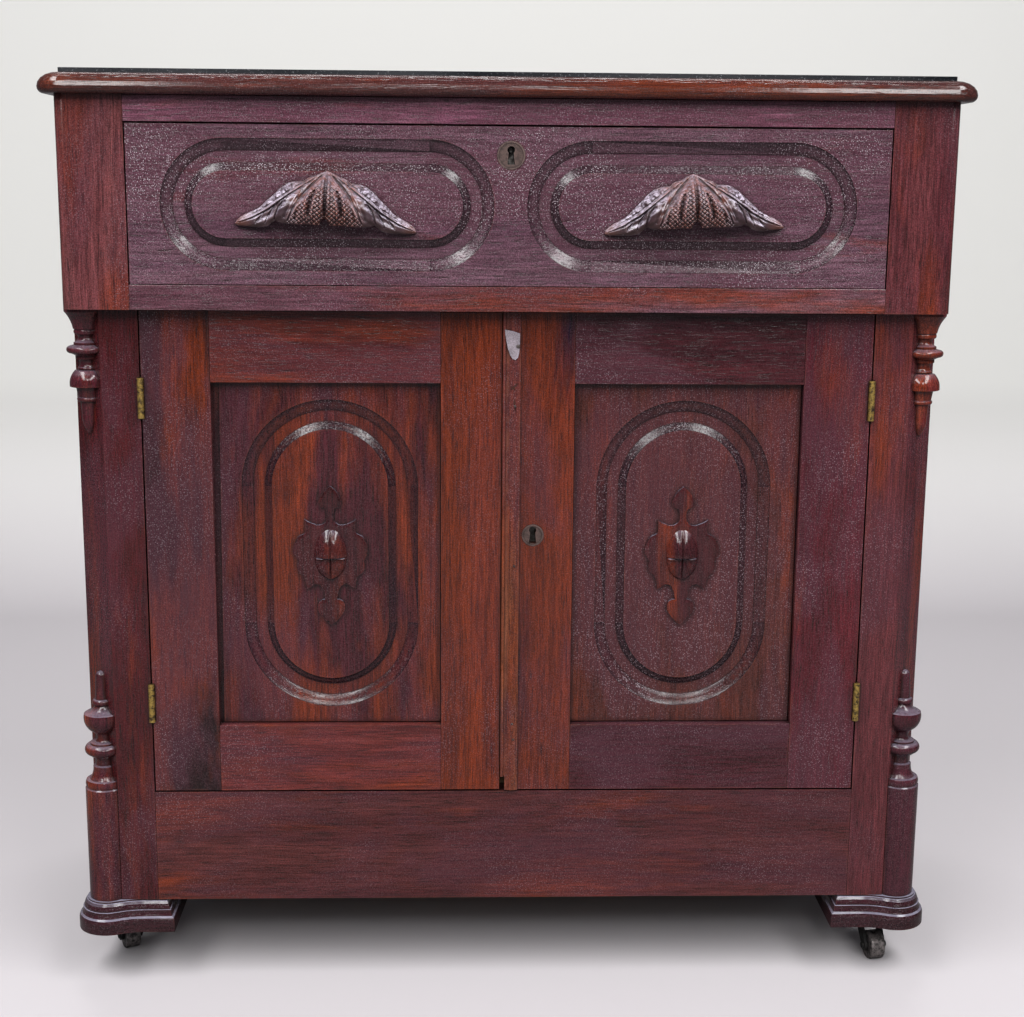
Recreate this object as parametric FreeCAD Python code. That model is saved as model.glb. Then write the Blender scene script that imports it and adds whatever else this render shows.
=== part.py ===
import FreeCAD, Part
import math
import os

# A washstand cupboard: one wide drawer over a two-door cupboard, on moulded feet with casters.
# Millimetres. +X is the viewer's right, -Y is the front and +Z is up. The origin is on the floor
# under the middle of the whole piece.

# Heights, from the floor up
caster_height = 50.0
foot_height = 31.0
base_rail_height = 113.0
door_bottom_gap = 1.5
door_height = 470.5
door_top_gap = 1.5
drawer_rail_height = 23.0
drawer_opening_height = 145.5
top_rail_height = 23.5
top_thickness = 19.0
sheet_thickness = 4.0

# Widths and depths of the case
case_width = 822.0
case_depth = 412.0
lower_setback = 17.5
cut_overrun = 5.0

# Top board and the thin sheet that lies on it
top_side_overhang = 14.0
top_front_overhang = 15.0
top_round_width = 19.0
top_round_height = 12.5
top_under_round = 6.0
top_corner_radius = 22.0
top_round_steps = 5
sheet_corner_radius = 3.0

# Corner posts, facing stiles and rails of the front
post_width = 65.5
post_depth = 45.0
post_chamfer = 29.5
upper_stile_width = 62.0
upper_stile_round = 9.0
top_rail_depth = 40.0
rail_tenon_length = 20.0
rail_tenon_thickness = 8.0
rail_tenon_shoulder = 4.0

# Side frames, back boards and cupboard bottom
rear_post_width = 30.0
rear_post_depth = 45.0
side_frame_thickness = 20.0
side_top_rail_height = 66.0
side_panel_thickness = 8.0
side_panel_recess = 6.0
side_groove_depth = 8.0
side_panel_play = 1.0
back_board_thickness = 10.0
back_board_count = 5
back_board_gap = 1.0
back_rebate = 8.0
bottom_board_thickness = 14.0
bottom_board_lip = 6.0
bottom_board_bearing = 5.0

# Drawer slideways
runner_width = 42.0
guide_height = 25.0

# Drawer
drawer_side_gap = 1.2
drawer_bottom_gap = 0.5
drawer_top_gap = 1.5
drawer_front_thickness = 22.0
drawer_side_thickness = 12.0
drawer_side_height = 141.0
drawer_back_gap = 8.0
drawer_back_thickness = 12.0
drawer_bottom_thickness = 8.0
drawer_bottom_lift = 10.0
drawer_groove_depth = 6.0
drawer_running_gap = 0.4
dovetail_count = 4
dovetail_length = 14.0
dovetail_root = 14.0
dovetail_tip = 20.0

# Sunk racetrack moulding, the same section on the drawer front and on the door panels
sunk_long = 303.0
drawer_sunk_short = 118.0
door_sunk_short = 168.0
drawer_sunk_inset = 29.7
door_sunk_shift = 2.0
sunk_slope_width = 10.5
sunk_flat_width = 11.0
sunk_rise_width = 7.0
sunk_edge_step = 1.0
sunk_slope_depth = 4.6
sunk_depth = 5.4

# Doors
door_side_gap = 1.3
door_thickness = 22.0
door_stile_width = 64.0
left_meeting_stile_width = 57.5
door_rail_height = 67.0
left_door_edge = -6.6
right_door_edge = -1.5
door_edge_bevel = 1.2
door_stop_gap = 0.5
panel_recess = 9.0
panel_thickness = 11.0
panel_groove_start = 11.5
panel_groove_width = 6.5
panel_groove_depth = 8.0
panel_tongue_reach = 6.5
panel_play = 0.2
panel_field_gap = 0.8
panel_shrink_top = 7.0
panel_shrink_bottom = 3.5
door_tenon_length = 30.0
door_tenon_shoulder = 10.0

# Astragal strip on the right door
astragal_left = -5.9
astragal_right = 11.0
astragal_thickness = 3.0
astragal_bead_width = 3.4
astragal_quirk_width = 2.2
astragal_quirk_depth = 1.6
astragal_broken_length = 14.0

# Door ornament: a flat cut plaque with a raised nut in its middle
ornament_width = 74.0
ornament_height = 136.0
ornament_thickness = 3.5
ornament_edge_round = 0.8
nut_width = 36.0
nut_height = 50.0
nut_projection = 13.0
nut_break_share = 0.43

# Carved drawer pulls
pull_width = 164.0
pull_height = 51.0
pull_projection = 28.0
pull_lip_thickness = 5.0
pull_undercut_height = 16.0
pull_tilt_degrees = 2.4
pull_drop = 21.0

# Keyholes, locks and bolts
door_key_height = 453.0
drawer_key_plate_radius = 12.7
door_key_plate_radius = 10.4
key_plate_thickness = 2.6
key_plate_proud = 0.5
key_plate_rim = 1.4
key_plate_hollow = 0.7
key_head_radius = 3.5
key_slot_top_width = 4.2
key_slot_foot_width = 7.0
key_slot_length = 13.0
lock_case_width = 56.0
lock_case_height = 42.0
lock_case_depth = 11.0
lock_wall = 1.6
lock_pin_radius = 1.8
lock_pin_to_edge = 25.5
bolt_width = 24.0
bolt_thickness = 4.0
bolt_length = 17.0
bolt_inset = 0.3
bolt_play = 0.4
drawer_bolt_travel = 8.0
door_bolt_travel = 12.0
mortise_play = 1.0

# Butt hinges
hinge_length = 38.0
hinge_barrel_radius = 3.0
hinge_pin_radius = 1.2
hinge_pin_play = 0.06
hinge_pin_proud = 1.5
hinge_leaf_thickness = 1.5
hinge_leaf_depth = 16.0
hinge_leaf_spacing = 0.7
hinge_knuckle_count = 5
hinge_knuckle_gap = 0.3
hinge_barrel_relief = 0.4
hinge_top_drop = 82.0
hinge_bottom_rise = 90.0

# Turned ornaments on the chamfered corners
pendant_height = 120.0
pendant_radius = 20.0
column_height = 115.6
column_radius = 19.6
column_edge = 1.2
finial_height = 117.6
finial_radius = 19.0

# Moulded feet
foot_projection = 8.5
foot_inner_reach = 82.0
foot_back_reach = 75.0
foot_bulge_radius = 31.0
foot_hollow_radius = 60.0
foot_moulding_depth = 9.0

# Casters
caster_side_inset = 31.5
caster_end_inset = 46.0
caster_plate_radius = 17.0
caster_plate_thickness = 2.5
caster_pin_radius = 3.5
caster_pin_play = 0.08
caster_head_radius = 5.5
caster_head_thickness = 2.0
caster_bearing_gap = 0.4
fork_crown_radius = 13.0
fork_crown_thickness = 3.0
fork_arm_thickness = 3.0
fork_arm_width = 15.0
fork_boss_radius = 5.5
wheel_radius = 14.5
wheel_width = 15.0
wheel_edge_round = 2.0
wheel_side_gap = 0.75
wheel_trail = 20.0
axle_radius = 2.2
axle_play = 0.07
axle_head_radius = 3.4
axle_head_thickness = 1.5
caster_headings = {"front_left": 207.0, "front_right": 10.0, "rear_left": 205.0, "rear_right": 160.0}

# Places worked out from the sizes
half_case = case_width / 2
half_top = half_case + top_side_overhang
whole_depth = case_depth + pull_projection
front_y = pull_projection - whole_depth / 2
back_y = whole_depth / 2
lower_front_y = front_y + lower_setback
frame_back_y = lower_front_y + post_depth
base_rail_thickness = door_thickness + door_stop_gap
rear_frame_y = back_y - rear_post_depth

foot_bottom_z = caster_height
base_z = foot_bottom_z + foot_height
base_rail_top_z = base_z + base_rail_height
door_bottom_z = base_rail_top_z + door_bottom_gap
door_top_z = door_bottom_z + door_height
upper_case_z = door_top_z + door_top_gap
drawer_opening_z = upper_case_z + drawer_rail_height
drawer_opening_top_z = drawer_opening_z + drawer_opening_height
case_top_z = drawer_opening_top_z + top_rail_height
top_z = case_top_z + top_thickness

post_inner = half_case - post_width
opening_half = half_case - upper_stile_width
door_outer = post_inner - door_side_gap
pin_x = post_inner - door_side_gap / 2
pin_y = lower_front_y - hinge_pin_proud
side_inner = half_case - side_frame_thickness
bottom_board_top_z = base_rail_top_z + bottom_board_lip
bottom_board_z = bottom_board_top_z - bottom_board_thickness

drawer_half = opening_half - drawer_side_gap
drawer_front_z = drawer_opening_z + drawer_bottom_gap
drawer_front_top_z = drawer_opening_top_z - drawer_top_gap
drawer_centre_z = drawer_opening_z + drawer_opening_height / 2
drawer_side_y = front_y + drawer_front_thickness
drawer_end_y = back_y - back_board_thickness - drawer_back_gap
drawer_box_z = drawer_opening_z + drawer_running_gap
drawer_box_top_z = drawer_box_z + drawer_side_height
drawer_inner = drawer_half - drawer_side_thickness
drawer_sunk_centre = drawer_half - drawer_sunk_inset - sunk_long / 2
drawer_bottom_z = drawer_box_z + drawer_bottom_lift
drawer_key_z = drawer_front_top_z - lock_pin_to_edge

panel_bottom_z = door_bottom_z + door_rail_height
panel_top_z = door_top_z - door_rail_height
panel_centre_z = (panel_bottom_z + panel_top_z) / 2
door_key_x = right_door_edge + lock_pin_to_edge
keyhole_rise = (key_slot_length - key_head_radius) / 2
left_panel_x = (-door_outer + door_stile_width, left_door_edge - left_meeting_stile_width)
right_panel_x = (right_door_edge + door_stile_width, door_outer - door_stile_width)

chamfer_middle = post_chamfer / 2
corner_x = -half_case + chamfer_middle
corner_y = lower_front_y + chamfer_middle

Up = FreeCAD.Vector(0, 0, 1)
Across = FreeCAD.Vector(1, 0, 0)
Back = FreeCAD.Vector(0, 1, 0)
Origin = FreeCAD.Vector(0, 0, 0)


def point(x, y, z):
    return FreeCAD.Vector(x, y, z)


def box(x_range, y_range, z_range):
    """A plain board between two places on each axis, given in either order."""
    low = [min(r) for r in (x_range, y_range, z_range)]
    high = [max(r) for r in (x_range, y_range, z_range)]
    size = [h - l for h, l in zip(high, low)]
    return Part.makeBox(size[0], size[1], size[2], point(*low))


def mirrored(shape):
    return shape.mirror(Origin, Across)


def prism(points, direction):
    """A solid with a flat polygon as its section."""
    return Part.Face(Part.makePolygon(points + [points[0]])).extrude(direction)


def joined(shapes):
    whole = shapes[0].multiFuse(shapes[1:]) if len(shapes) > 1 else shapes[0]
    return whole.removeSplitter()


def cut(shape, tools):
    return shape.cut(Part.makeCompound(tools)).removeSplitter()


def save(node, solids):
    """Write one node, with a check that it is made of closed and valid solids."""
    found = [s for shape in solids for s in shape.Solids]
    if not found or not all(s.isValid() for s in found):
        raise ValueError("bad solid in " + node)
    whole = found[0] if len(found) == 1 else Part.makeCompound(found)
    whole.exportStep("parts/" + node + ".step")


def stacked(outlines):
    """A solid through outlines at rising heights that all have the same number of edges."""
    return Part.makeLoft(outlines, True, True)


def rounded_plan(half_width, front, back, inset, radius, z):
    """Plan outline of a board with its two front corners rounded and its back edge left straight."""
    left = -half_width + inset
    near = front + inset
    arc_radius = radius - inset
    middle = arc_radius * (1 - math.sqrt(2) / 2)
    points = [point(left, back, z), point(left, near + arc_radius, z),
              point(left + middle, near + middle, z), point(left + arc_radius, near, z)]
    points += [point(-p.x, p.y, z) for p in reversed(points)]
    edges = [Part.makeLine(points[0], points[1]), Part.Arc(points[1], points[2], points[3]).toShape(),
             Part.makeLine(points[3], points[4]), Part.Arc(points[4], points[5], points[6]).toShape(),
             Part.makeLine(points[6], points[7]), Part.makeLine(points[7], points[0])]
    return Part.Wire(edges)


def make_top():
    """The top board has an elliptical thumb mould above a small round on its front and ends."""
    front = front_y - top_front_overhang
    levels = [(top_under_round, case_top_z)]
    for step in range(1, top_round_steps + 1):
        angle = math.pi / 2 * step / top_round_steps
        levels.append((top_under_round * (1 - math.sin(angle)),
                       case_top_z + top_under_round * (1 - math.cos(angle))))
    shoulder_z = top_z - top_round_height
    for step in range(top_round_steps + 1):
        angle = math.pi / 2 * step / top_round_steps
        levels.append((top_round_width * (1 - math.cos(angle)),
                       shoulder_z + top_round_height * math.sin(angle)))
    board = stacked([rounded_plan(half_top, front, back_y, inset, top_corner_radius, z)
                     for inset, z in levels])
    save("top_board", [board])
    sheet_plan = rounded_plan(half_top - top_round_width, front + top_round_width,
                              back_y - top_round_width, 0, sheet_corner_radius, top_z)
    save("top_sheet", [Part.Face(sheet_plan).extrude(Up * sheet_thickness)])


def tenon_pair(half_span, y_middle, z_range):
    """The two tenons on the ends of a front rail, which fill mortises in the posts."""
    ends = []
    y_range = (y_middle - rail_tenon_thickness / 2, y_middle + rail_tenon_thickness / 2)
    z_inner = (z_range[0] + rail_tenon_shoulder, z_range[1] - rail_tenon_shoulder)
    for side in (-1, 1):
        ends.append(box((side * half_span, side * (half_span + rail_tenon_length)), y_range, z_inner))
    return ends


def front_tenons():
    """Tenons of the top rail, the drawer rail and the base rail, in that order."""
    tenon_y = lower_front_y + base_rail_thickness / 2
    return [tenon_pair(opening_half, tenon_y, (drawer_opening_top_z, case_top_z)),
            tenon_pair(opening_half, tenon_y, (upper_case_z, drawer_opening_z)),
            tenon_pair(post_inner, tenon_y, (base_z, base_rail_top_z))]


def hinge_heights():
    return [door_top_z - hinge_top_drop, door_bottom_z + hinge_bottom_rise]


def hinge_seats():
    """Space let into the right-hand post and door edge for the two hinges of the right door."""
    seats = {"post": [], "door": []}
    half = hinge_length / 2
    leaf_back = pin_y + hinge_barrel_radius + hinge_barrel_relief + hinge_leaf_depth
    fixed_side = pin_x + hinge_leaf_spacing / 2 + hinge_leaf_thickness
    moving_side = pin_x - hinge_leaf_spacing / 2 - hinge_leaf_thickness
    for z in hinge_heights():
        barrel = Part.makeCylinder(hinge_barrel_radius + hinge_barrel_relief, hinge_length,
                                   point(pin_x, pin_y, z - half), Up)
        seats["post"] += [box((post_inner, fixed_side), (lower_front_y, leaf_back), (z - half, z + half)),
                          barrel]
        seats["door"] += [box((moving_side, door_outer), (lower_front_y, leaf_back), (z - half, z + half)),
                          barrel]
    return seats


def make_front_frame():
    """Chamfered corner posts, the facing stiles of the drawer case and the three front rails."""
    top_tenons, drawer_tenons, base_tenons = front_tenons()
    plan = [point(post_inner, lower_front_y, base_z), point(half_case - post_chamfer, lower_front_y, base_z),
            point(half_case, lower_front_y + post_chamfer, base_z), point(half_case, frame_back_y, base_z),
            point(post_inner, frame_back_y, base_z)]
    lower = prism(plan, Up * (upper_case_z - base_z))
    upper = box((opening_half, half_case), (lower_front_y, frame_back_y), (upper_case_z, case_top_z))
    post = joined([lower, upper])
    right_tenons = [top_tenons[1], drawer_tenons[1], base_tenons[1]]
    post = cut(post, right_tenons + hinge_seats()["post"] + side_rail_tenons(frame_back_y, -1)
               + [side_panel_tongue_space()])
    save("corner_post_right", [post])
    save("corner_post_left", [mirrored(post)])

    round_x = half_case - upper_stile_round
    round_y = front_y + upper_stile_round
    half_way = upper_stile_round * math.sqrt(2) / 2
    round_middle = point(round_x + half_way, round_y - half_way, upper_case_z)
    corners = [point(round_x, front_y, upper_case_z), point(opening_half, front_y, upper_case_z),
               point(opening_half, lower_front_y, upper_case_z),
               point(half_case, lower_front_y, upper_case_z), point(half_case, round_y, upper_case_z)]
    edges = [Part.makeLine(start, end) for start, end in zip(corners, corners[1:])]
    edges.append(Part.Arc(corners[-1], round_middle, corners[0]).toShape())
    stile = Part.Face(Part.Wire(edges)).extrude(Up * (case_top_z - upper_case_z))
    save("upper_stile_right", [stile])
    save("upper_stile_left", [mirrored(stile)])

    top_rail = box((-opening_half, opening_half), (front_y, front_y + top_rail_depth),
                   (drawer_opening_top_z, case_top_z))
    bolt_mortise = box((-bolt_width / 2 - mortise_play, bolt_width / 2 + mortise_play),
                       drawer_bolt_mortise_y(),
                       (drawer_opening_top_z - cut_overrun,
                        drawer_opening_top_z + drawer_bolt_travel + mortise_play))
    save("top_rail", [cut(joined([top_rail] + top_tenons), [bolt_mortise])])
    drawer_rail = box((-opening_half, opening_half), (front_y, frame_back_y),
                      (upper_case_z, drawer_opening_z))
    save("drawer_rail", [joined([drawer_rail] + drawer_tenons)])
    base_rail = box((-post_inner, post_inner), (lower_front_y, lower_front_y + base_rail_thickness),
                    (base_z, base_rail_top_z))
    save("base_rail", [joined([base_rail] + base_tenons)])


def side_rail_heights():
    return [(base_z, bottom_board_z), (case_top_z - side_top_rail_height, case_top_z)]


def side_rail_tenons(y_face, way):
    """Tenons of the right side's rails, from the post face at y_face forwards (-1) or backwards (1)."""
    x_range = (half_case - side_panel_recess - side_panel_thickness, half_case - side_panel_recess)
    shoulder = side_groove_depth + rail_tenon_shoulder
    return [box(x_range, (y_face, y_face + way * rail_tenon_length), (low + shoulder, high - shoulder))
            for low, high in side_rail_heights()]


def side_panel_tongue_space():
    """Groove in the posts and rails of the right side that holds the edge of its panel."""
    low, high = side_rail_heights()
    return box((half_case - side_panel_recess - side_panel_thickness, half_case - side_panel_recess),
               (frame_back_y - side_groove_depth, rear_frame_y + side_groove_depth),
               (low[1] - side_groove_depth, high[0] + side_groove_depth))


def make_sides():
    """Each side is a frame of front post, rear post and two rails around a thin sunk panel."""
    rear_x = half_case - rear_post_width
    rear_post = box((rear_x, half_case), (rear_frame_y, back_y), (base_z, case_top_z))
    rebate = box((rear_x - cut_overrun, rear_x + back_rebate),
                 (back_y - back_board_thickness, back_y + cut_overrun),
                 (base_z - cut_overrun, case_top_z + cut_overrun))
    rear_post = cut(rear_post, [rebate, side_panel_tongue_space()] + side_rail_tenons(rear_frame_y, 1))
    save("rear_post_right", [rear_post])
    save("rear_post_left", [mirrored(rear_post)])

    tenons = side_rail_tenons(frame_back_y, -1) + side_rail_tenons(rear_frame_y, 1)
    rails = []
    for index, z_range in enumerate(side_rail_heights()):
        rail = box((side_inner, half_case), (frame_back_y, rear_frame_y), z_range)
        rail = cut(rail, [side_panel_tongue_space()])
        rails.append(joined([rail, tenons[index], tenons[index + 2]]))
    save("side_rails_right", rails)
    save("side_rails_left", [mirrored(rail) for rail in rails])

    low, high = side_rail_heights()
    edge = side_groove_depth - side_panel_play
    panel = box((half_case - side_panel_recess - side_panel_thickness, half_case - side_panel_recess),
                (frame_back_y - edge, rear_frame_y + edge), (low[1] - edge, high[0] + edge))
    save("side_panel_right", [panel])
    save("side_panel_left", [mirrored(panel)])


def make_back_and_bottom():
    """Upright back boards in the rebates of the rear posts, and the cupboard's bottom board."""
    half_span = half_case - rear_post_width + back_rebate
    pitch = 2 * half_span / back_board_count
    boards = []
    for index in range(back_board_count):
        left = -half_span + index * pitch + back_board_gap / 2
        boards.append(box((left, left + pitch - back_board_gap),
                          (back_y - back_board_thickness, back_y), (base_z, case_top_z)))
    save("back_boards", boards)

    reach = side_inner + bottom_board_bearing
    board = box((-reach, reach), (lower_front_y + base_rail_thickness, back_y - back_board_thickness),
                (bottom_board_z, bottom_board_top_z))
    notches = []
    for side in (-1, 1):
        notches.append(box((side * post_inner, side * half_case), (lower_front_y, frame_back_y),
                           (bottom_board_z - cut_overrun, bottom_board_top_z + cut_overrun)))
        notches.append(box((side * (half_case - rear_post_width), side * half_case), (rear_frame_y, back_y),
                           (bottom_board_z - cut_overrun, bottom_board_top_z + cut_overrun)))
    save("cupboard_bottom", [cut(board, notches)])


def make_slideways():
    """On each side: the runner that carries the drawer, the guide beside it and the kicker above."""
    inner = side_inner - runner_width - (side_inner - opening_half)
    lengthwise = (frame_back_y, rear_frame_y)
    runner = box((inner, side_inner), lengthwise, (upper_case_z, drawer_opening_z))
    guide = box((opening_half, side_inner), lengthwise, (drawer_opening_z, drawer_opening_z + guide_height))
    kicker = box((inner, side_inner), lengthwise, (drawer_opening_top_z, case_top_z))
    right = [runner, guide, kicker]
    save("drawer_slideways", right + [mirrored(piece) for piece in right])


def racetrack(x, y, z, long_size, short_size, inset, upright):
    """Outline with two straight sides and two half-round ends, in a plane that faces the front."""
    radius = short_size / 2 - inset
    straight = (long_size - short_size) / 2
    along, over = (Up, Across) if upright else (Across, Up)
    middle = point(x, y, z)
    corners = [middle - along * straight + over * radius, middle + along * straight + over * radius,
               middle + along * straight - over * radius, middle - along * straight - over * radius]
    far_end = middle + along * (straight + radius)
    near_end = middle - along * (straight + radius)
    return Part.Wire([Part.makeLine(corners[0], corners[1]),
                      Part.Arc(corners[1], far_end, corners[2]).toShape(),
                      Part.makeLine(corners[2], corners[3]),
                      Part.Arc(corners[3], near_end, corners[0]).toShape()])


def sunk_moulding(x, y_face, z, short_size, upright):
    """Cutter for a racetrack channel: a slope down, a flat bed and a slope back up to the field."""
    def ring(inset, depth):
        return racetrack(x, y_face + depth, z, sunk_long, short_size, inset, upright)
    bed_inset = sunk_slope_width
    rise_inset = sunk_slope_width + sunk_flat_width
    field_inset = rise_inset + sunk_rise_width
    bowl = stacked([ring(0, -cut_overrun), ring(0, sunk_edge_step), ring(bed_inset, sunk_slope_depth),
                    ring(bed_inset, sunk_depth)])
    island = stacked([ring(field_inset, -cut_overrun), ring(field_inset, sunk_edge_step),
                      ring(rise_inset, sunk_slope_depth), ring(rise_inset, sunk_depth + cut_overrun)])
    return bowl.cut(island)


def keyhole(x, y_range, z):
    """Cutter for a keyhole whose round head is at z and whose slot widens downwards."""
    length = y_range[1] - y_range[0]
    head = Part.makeCylinder(key_head_radius, length, point(x, y_range[0], z), Back)
    foot_z = z - key_slot_length
    slot = prism([point(x - key_slot_top_width / 2, y_range[0], z),
                  point(x + key_slot_top_width / 2, y_range[0], z),
                  point(x + key_slot_foot_width / 2, y_range[0], foot_z),
                  point(x - key_slot_foot_width / 2, y_range[0], foot_z)], Back * length)
    return head.fuse(slot)


def key_plate(x, y_face, z, radius):
    """Round inlaid keyhole plate with a raised rim, set into the wood and standing slightly proud."""
    start = y_face - key_plate_proud
    plate = Part.makeCylinder(radius, key_plate_thickness, point(x, start, z), Back)
    hollow = Part.makeCylinder(radius - key_plate_rim, key_plate_hollow, point(x, start, z), Back)
    through = keyhole(x, (start - cut_overrun, start + key_plate_thickness + cut_overrun), z + keyhole_rise)
    return cut(plate, [hollow, through])


def key_openings(x, y_face, z, radius, depth):
    """What the wood loses for a key plate and for the keyhole behind it."""
    seat = Part.makeCylinder(radius, key_plate_thickness - key_plate_proud + cut_overrun,
                             point(x, y_face - cut_overrun, z), Back)
    return [seat, keyhole(x, (y_face, y_face + depth), z + keyhole_rise)]


def lock_parts(x, z, plate_y, back, towards):
    """Lock case, its bolt and its bolt's way, with the bolt leaving along the unit vector towards.

    The case is a thin box at the back of the wood, its edge plate is flush with the wood's edge, and
    x and z give the drill pin. plate_y is the front of the case and back is the back of the wood.
    """
    across = Up if abs(towards.x) > abs(towards.z) else Across
    edge = point(x, 0, z) + towards * lock_pin_to_edge
    far = edge - towards * lock_case_height

    def oriented(start, end, half_width, y_range):
        corner_a = start - across * half_width
        corner_b = end + across * half_width
        return box((corner_a.x, corner_b.x), y_range, (corner_a.z, corner_b.z))

    case_y = (plate_y, back)
    inner_y = (plate_y + lock_wall, back - lock_wall)
    outer = oriented(edge, far, lock_case_width / 2, case_y)
    inner = oriented(edge - towards * lock_wall, far + towards * lock_wall,
                     lock_case_width / 2 - lock_wall, inner_y)
    bolt_y = (back - lock_wall - bolt_play - bolt_thickness, back - lock_wall - bolt_play)
    way_y = (bolt_y[0] - bolt_play, bolt_y[1] + bolt_play / 2)
    way = oriented(edge + towards * cut_overrun, edge - towards * (lock_wall + cut_overrun),
                   bolt_width / 2 + bolt_play, way_y)
    front_hole = keyhole(x, (plate_y - cut_overrun, plate_y + lock_wall + cut_overrun), z + keyhole_rise)
    pin = Part.makeCylinder(lock_pin_radius, back - plate_y, point(x, plate_y, z + keyhole_rise), Back)
    case = joined([cut(outer, [inner, way, front_hole]), pin])
    bolt = oriented(edge - towards * bolt_inset, edge - towards * (bolt_inset + bolt_length),
                    bolt_width / 2, bolt_y)
    return case, bolt, outer


def drawer_lock_faces():
    return (front_y + drawer_front_thickness - lock_case_depth, front_y + drawer_front_thickness)


def drawer_bolt_mortise_y():
    back = drawer_lock_faces()[1]
    near = back - lock_wall - bolt_play - bolt_thickness
    return (near - mortise_play, back - lock_wall - bolt_play + mortise_play)


def make_drawer():
    """Drawer: lap-dovetailed front with two sunk mouldings, sides, back and a thin bottom."""
    tails = []
    pitch = drawer_side_height / dovetail_count
    for index in range(dovetail_count):
        z = drawer_box_z + (index + 0.5) * pitch
        tip_y = drawer_side_y - dovetail_length
        tails.append(prism([point(drawer_inner, drawer_side_y, z - dovetail_root / 2),
                            point(drawer_inner, tip_y, z - dovetail_tip / 2),
                            point(drawer_inner, tip_y, z + dovetail_tip / 2),
                            point(drawer_inner, drawer_side_y, z + dovetail_root / 2)],
                           Across * drawer_side_thickness))
    lock_y = drawer_lock_faces()
    case, bolt, case_block = lock_parts(0, drawer_key_z, lock_y[0], lock_y[1], Up)

    front = box((-drawer_half, drawer_half), (front_y, drawer_side_y), (drawer_front_z, drawer_front_top_z))
    bottom_groove = box((-drawer_inner - drawer_groove_depth, drawer_inner + drawer_groove_depth),
                        (drawer_side_y - drawer_groove_depth, drawer_side_y + cut_overrun),
                        (drawer_bottom_z, drawer_bottom_z + drawer_bottom_thickness))
    pockets = tails + [mirrored(tail) for tail in tails] + [case_block, bottom_groove]
    pockets += [sunk_moulding(side * drawer_sunk_centre, front_y, drawer_centre_z, drawer_sunk_short, False)
                for side in (-1, 1)]
    pockets += key_openings(0, front_y, drawer_key_z, drawer_key_plate_radius, drawer_front_thickness)
    save("drawer_front", [cut(front, pockets)])

    side = box((drawer_inner, drawer_half), (drawer_side_y, drawer_end_y), (drawer_box_z, drawer_box_top_z))
    groove = box((drawer_inner - cut_overrun, drawer_inner + drawer_groove_depth),
                 (drawer_side_y - drawer_groove_depth, drawer_end_y),
                 (drawer_bottom_z, drawer_bottom_z + drawer_bottom_thickness))
    side = cut(joined([side] + tails), [groove])
    save("drawer_side_right", [side])
    save("drawer_side_left", [mirrored(side)])
    save("drawer_back", [box((-drawer_inner, drawer_inner),
                             (drawer_end_y - drawer_back_thickness, drawer_end_y),
                             (drawer_bottom_z + drawer_bottom_thickness, drawer_box_top_z))])
    save("drawer_bottom", [box((-drawer_inner - drawer_groove_depth, drawer_inner + drawer_groove_depth),
                               (drawer_side_y - drawer_groove_depth, drawer_end_y),
                               (drawer_bottom_z, drawer_bottom_z + drawer_bottom_thickness))])
    save("drawer_keyhole_plate", [key_plate(0, front_y, drawer_key_z, drawer_key_plate_radius)])
    save("drawer_lock", [case])
    save("drawer_lock_bolt", [bolt])


# Carved pull, as sections across its width: place along the half width, height of the top edge and
# height of the lower lip as shares of its height, and how far it stands out as a share.
pull_section_shares = [(0.0, 1.0, 0.10, 1.0), (0.15, 0.91, 0.04, 0.98), (0.30, 0.80, 0.03, 0.92),
                       (0.45, 0.74, 0.05, 0.78), (0.57, 0.55, 0.05, 0.64), (0.70, 0.37, 0.0, 0.50),
                       (0.82, 0.25, -0.02, 0.38), (0.93, 0.15, -0.01, 0.26), (1.0, 0.05, 0.01, 0.14)]
pull_crest_share = 0.62
pull_shoulder_share = 0.72


def make_pulls():
    """Leaf-and-fruit pulls, carved solid, thin at the tips and undercut below for the fingers."""
    for side, name in ((-1, "pull_left"), (1, "pull_right")):
        x_centre = side * drawer_sunk_centre
        low_z = drawer_centre_z - pull_drop
        wires = []
        shares = [(-s[0], s[1], s[2], s[3]) for s in reversed(pull_section_shares[1:])] + pull_section_shares
        for along, top_share, lip_share, out_share in shares:
            x = x_centre + along * pull_width / 2
            top = low_z + top_share * pull_height
            lip = low_z + lip_share * pull_height
            out = out_share * pull_projection
            lip_back = out - min(pull_lip_thickness, out * pull_crest_share)
            undercut = min(pull_undercut_height, (top - lip) * pull_crest_share) * out_share
            shoulder = lip + (top - lip) * pull_shoulder_share
            crest = lip + (top - lip) * (1 - pull_crest_share)
            wires.append(Part.makePolygon([point(x, front_y, top),
                                           point(x, front_y - out * pull_crest_share, shoulder),
                                           point(x, front_y - out, crest),
                                           point(x, front_y - out, lip),
                                           point(x, front_y - lip_back, lip),
                                           point(x, front_y, lip + undercut),
                                           point(x, front_y, top)]))
        pull = stacked(wires)
        pull.rotate(point(x_centre, front_y, drawer_centre_z), Back, -side * pull_tilt_degrees)
        save(name, [pull])


def panel_space(x_range):
    """Groove around a door opening for the panel's tongue."""
    return box((x_range[0] - panel_groove_depth, x_range[1] + panel_groove_depth),
               (lower_front_y + panel_groove_start, lower_front_y + panel_groove_start + panel_groove_width),
               (panel_bottom_z - panel_groove_depth, panel_top_z + panel_groove_depth))


def door_tenons(x_range):
    """Tenons of a door's two rails, as long as they go into the stiles on both sides."""
    y_range = (lower_front_y + panel_groove_start, lower_front_y + panel_groove_start + panel_groove_width)
    pairs = []
    for low, high in ((door_bottom_z, panel_bottom_z), (panel_top_z, door_top_z)):
        z_range = (low + door_tenon_shoulder, high - door_tenon_shoulder)
        pairs.append(box((x_range[0] - door_tenon_length, x_range[1] + door_tenon_length), y_range, z_range))
    return pairs


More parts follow.
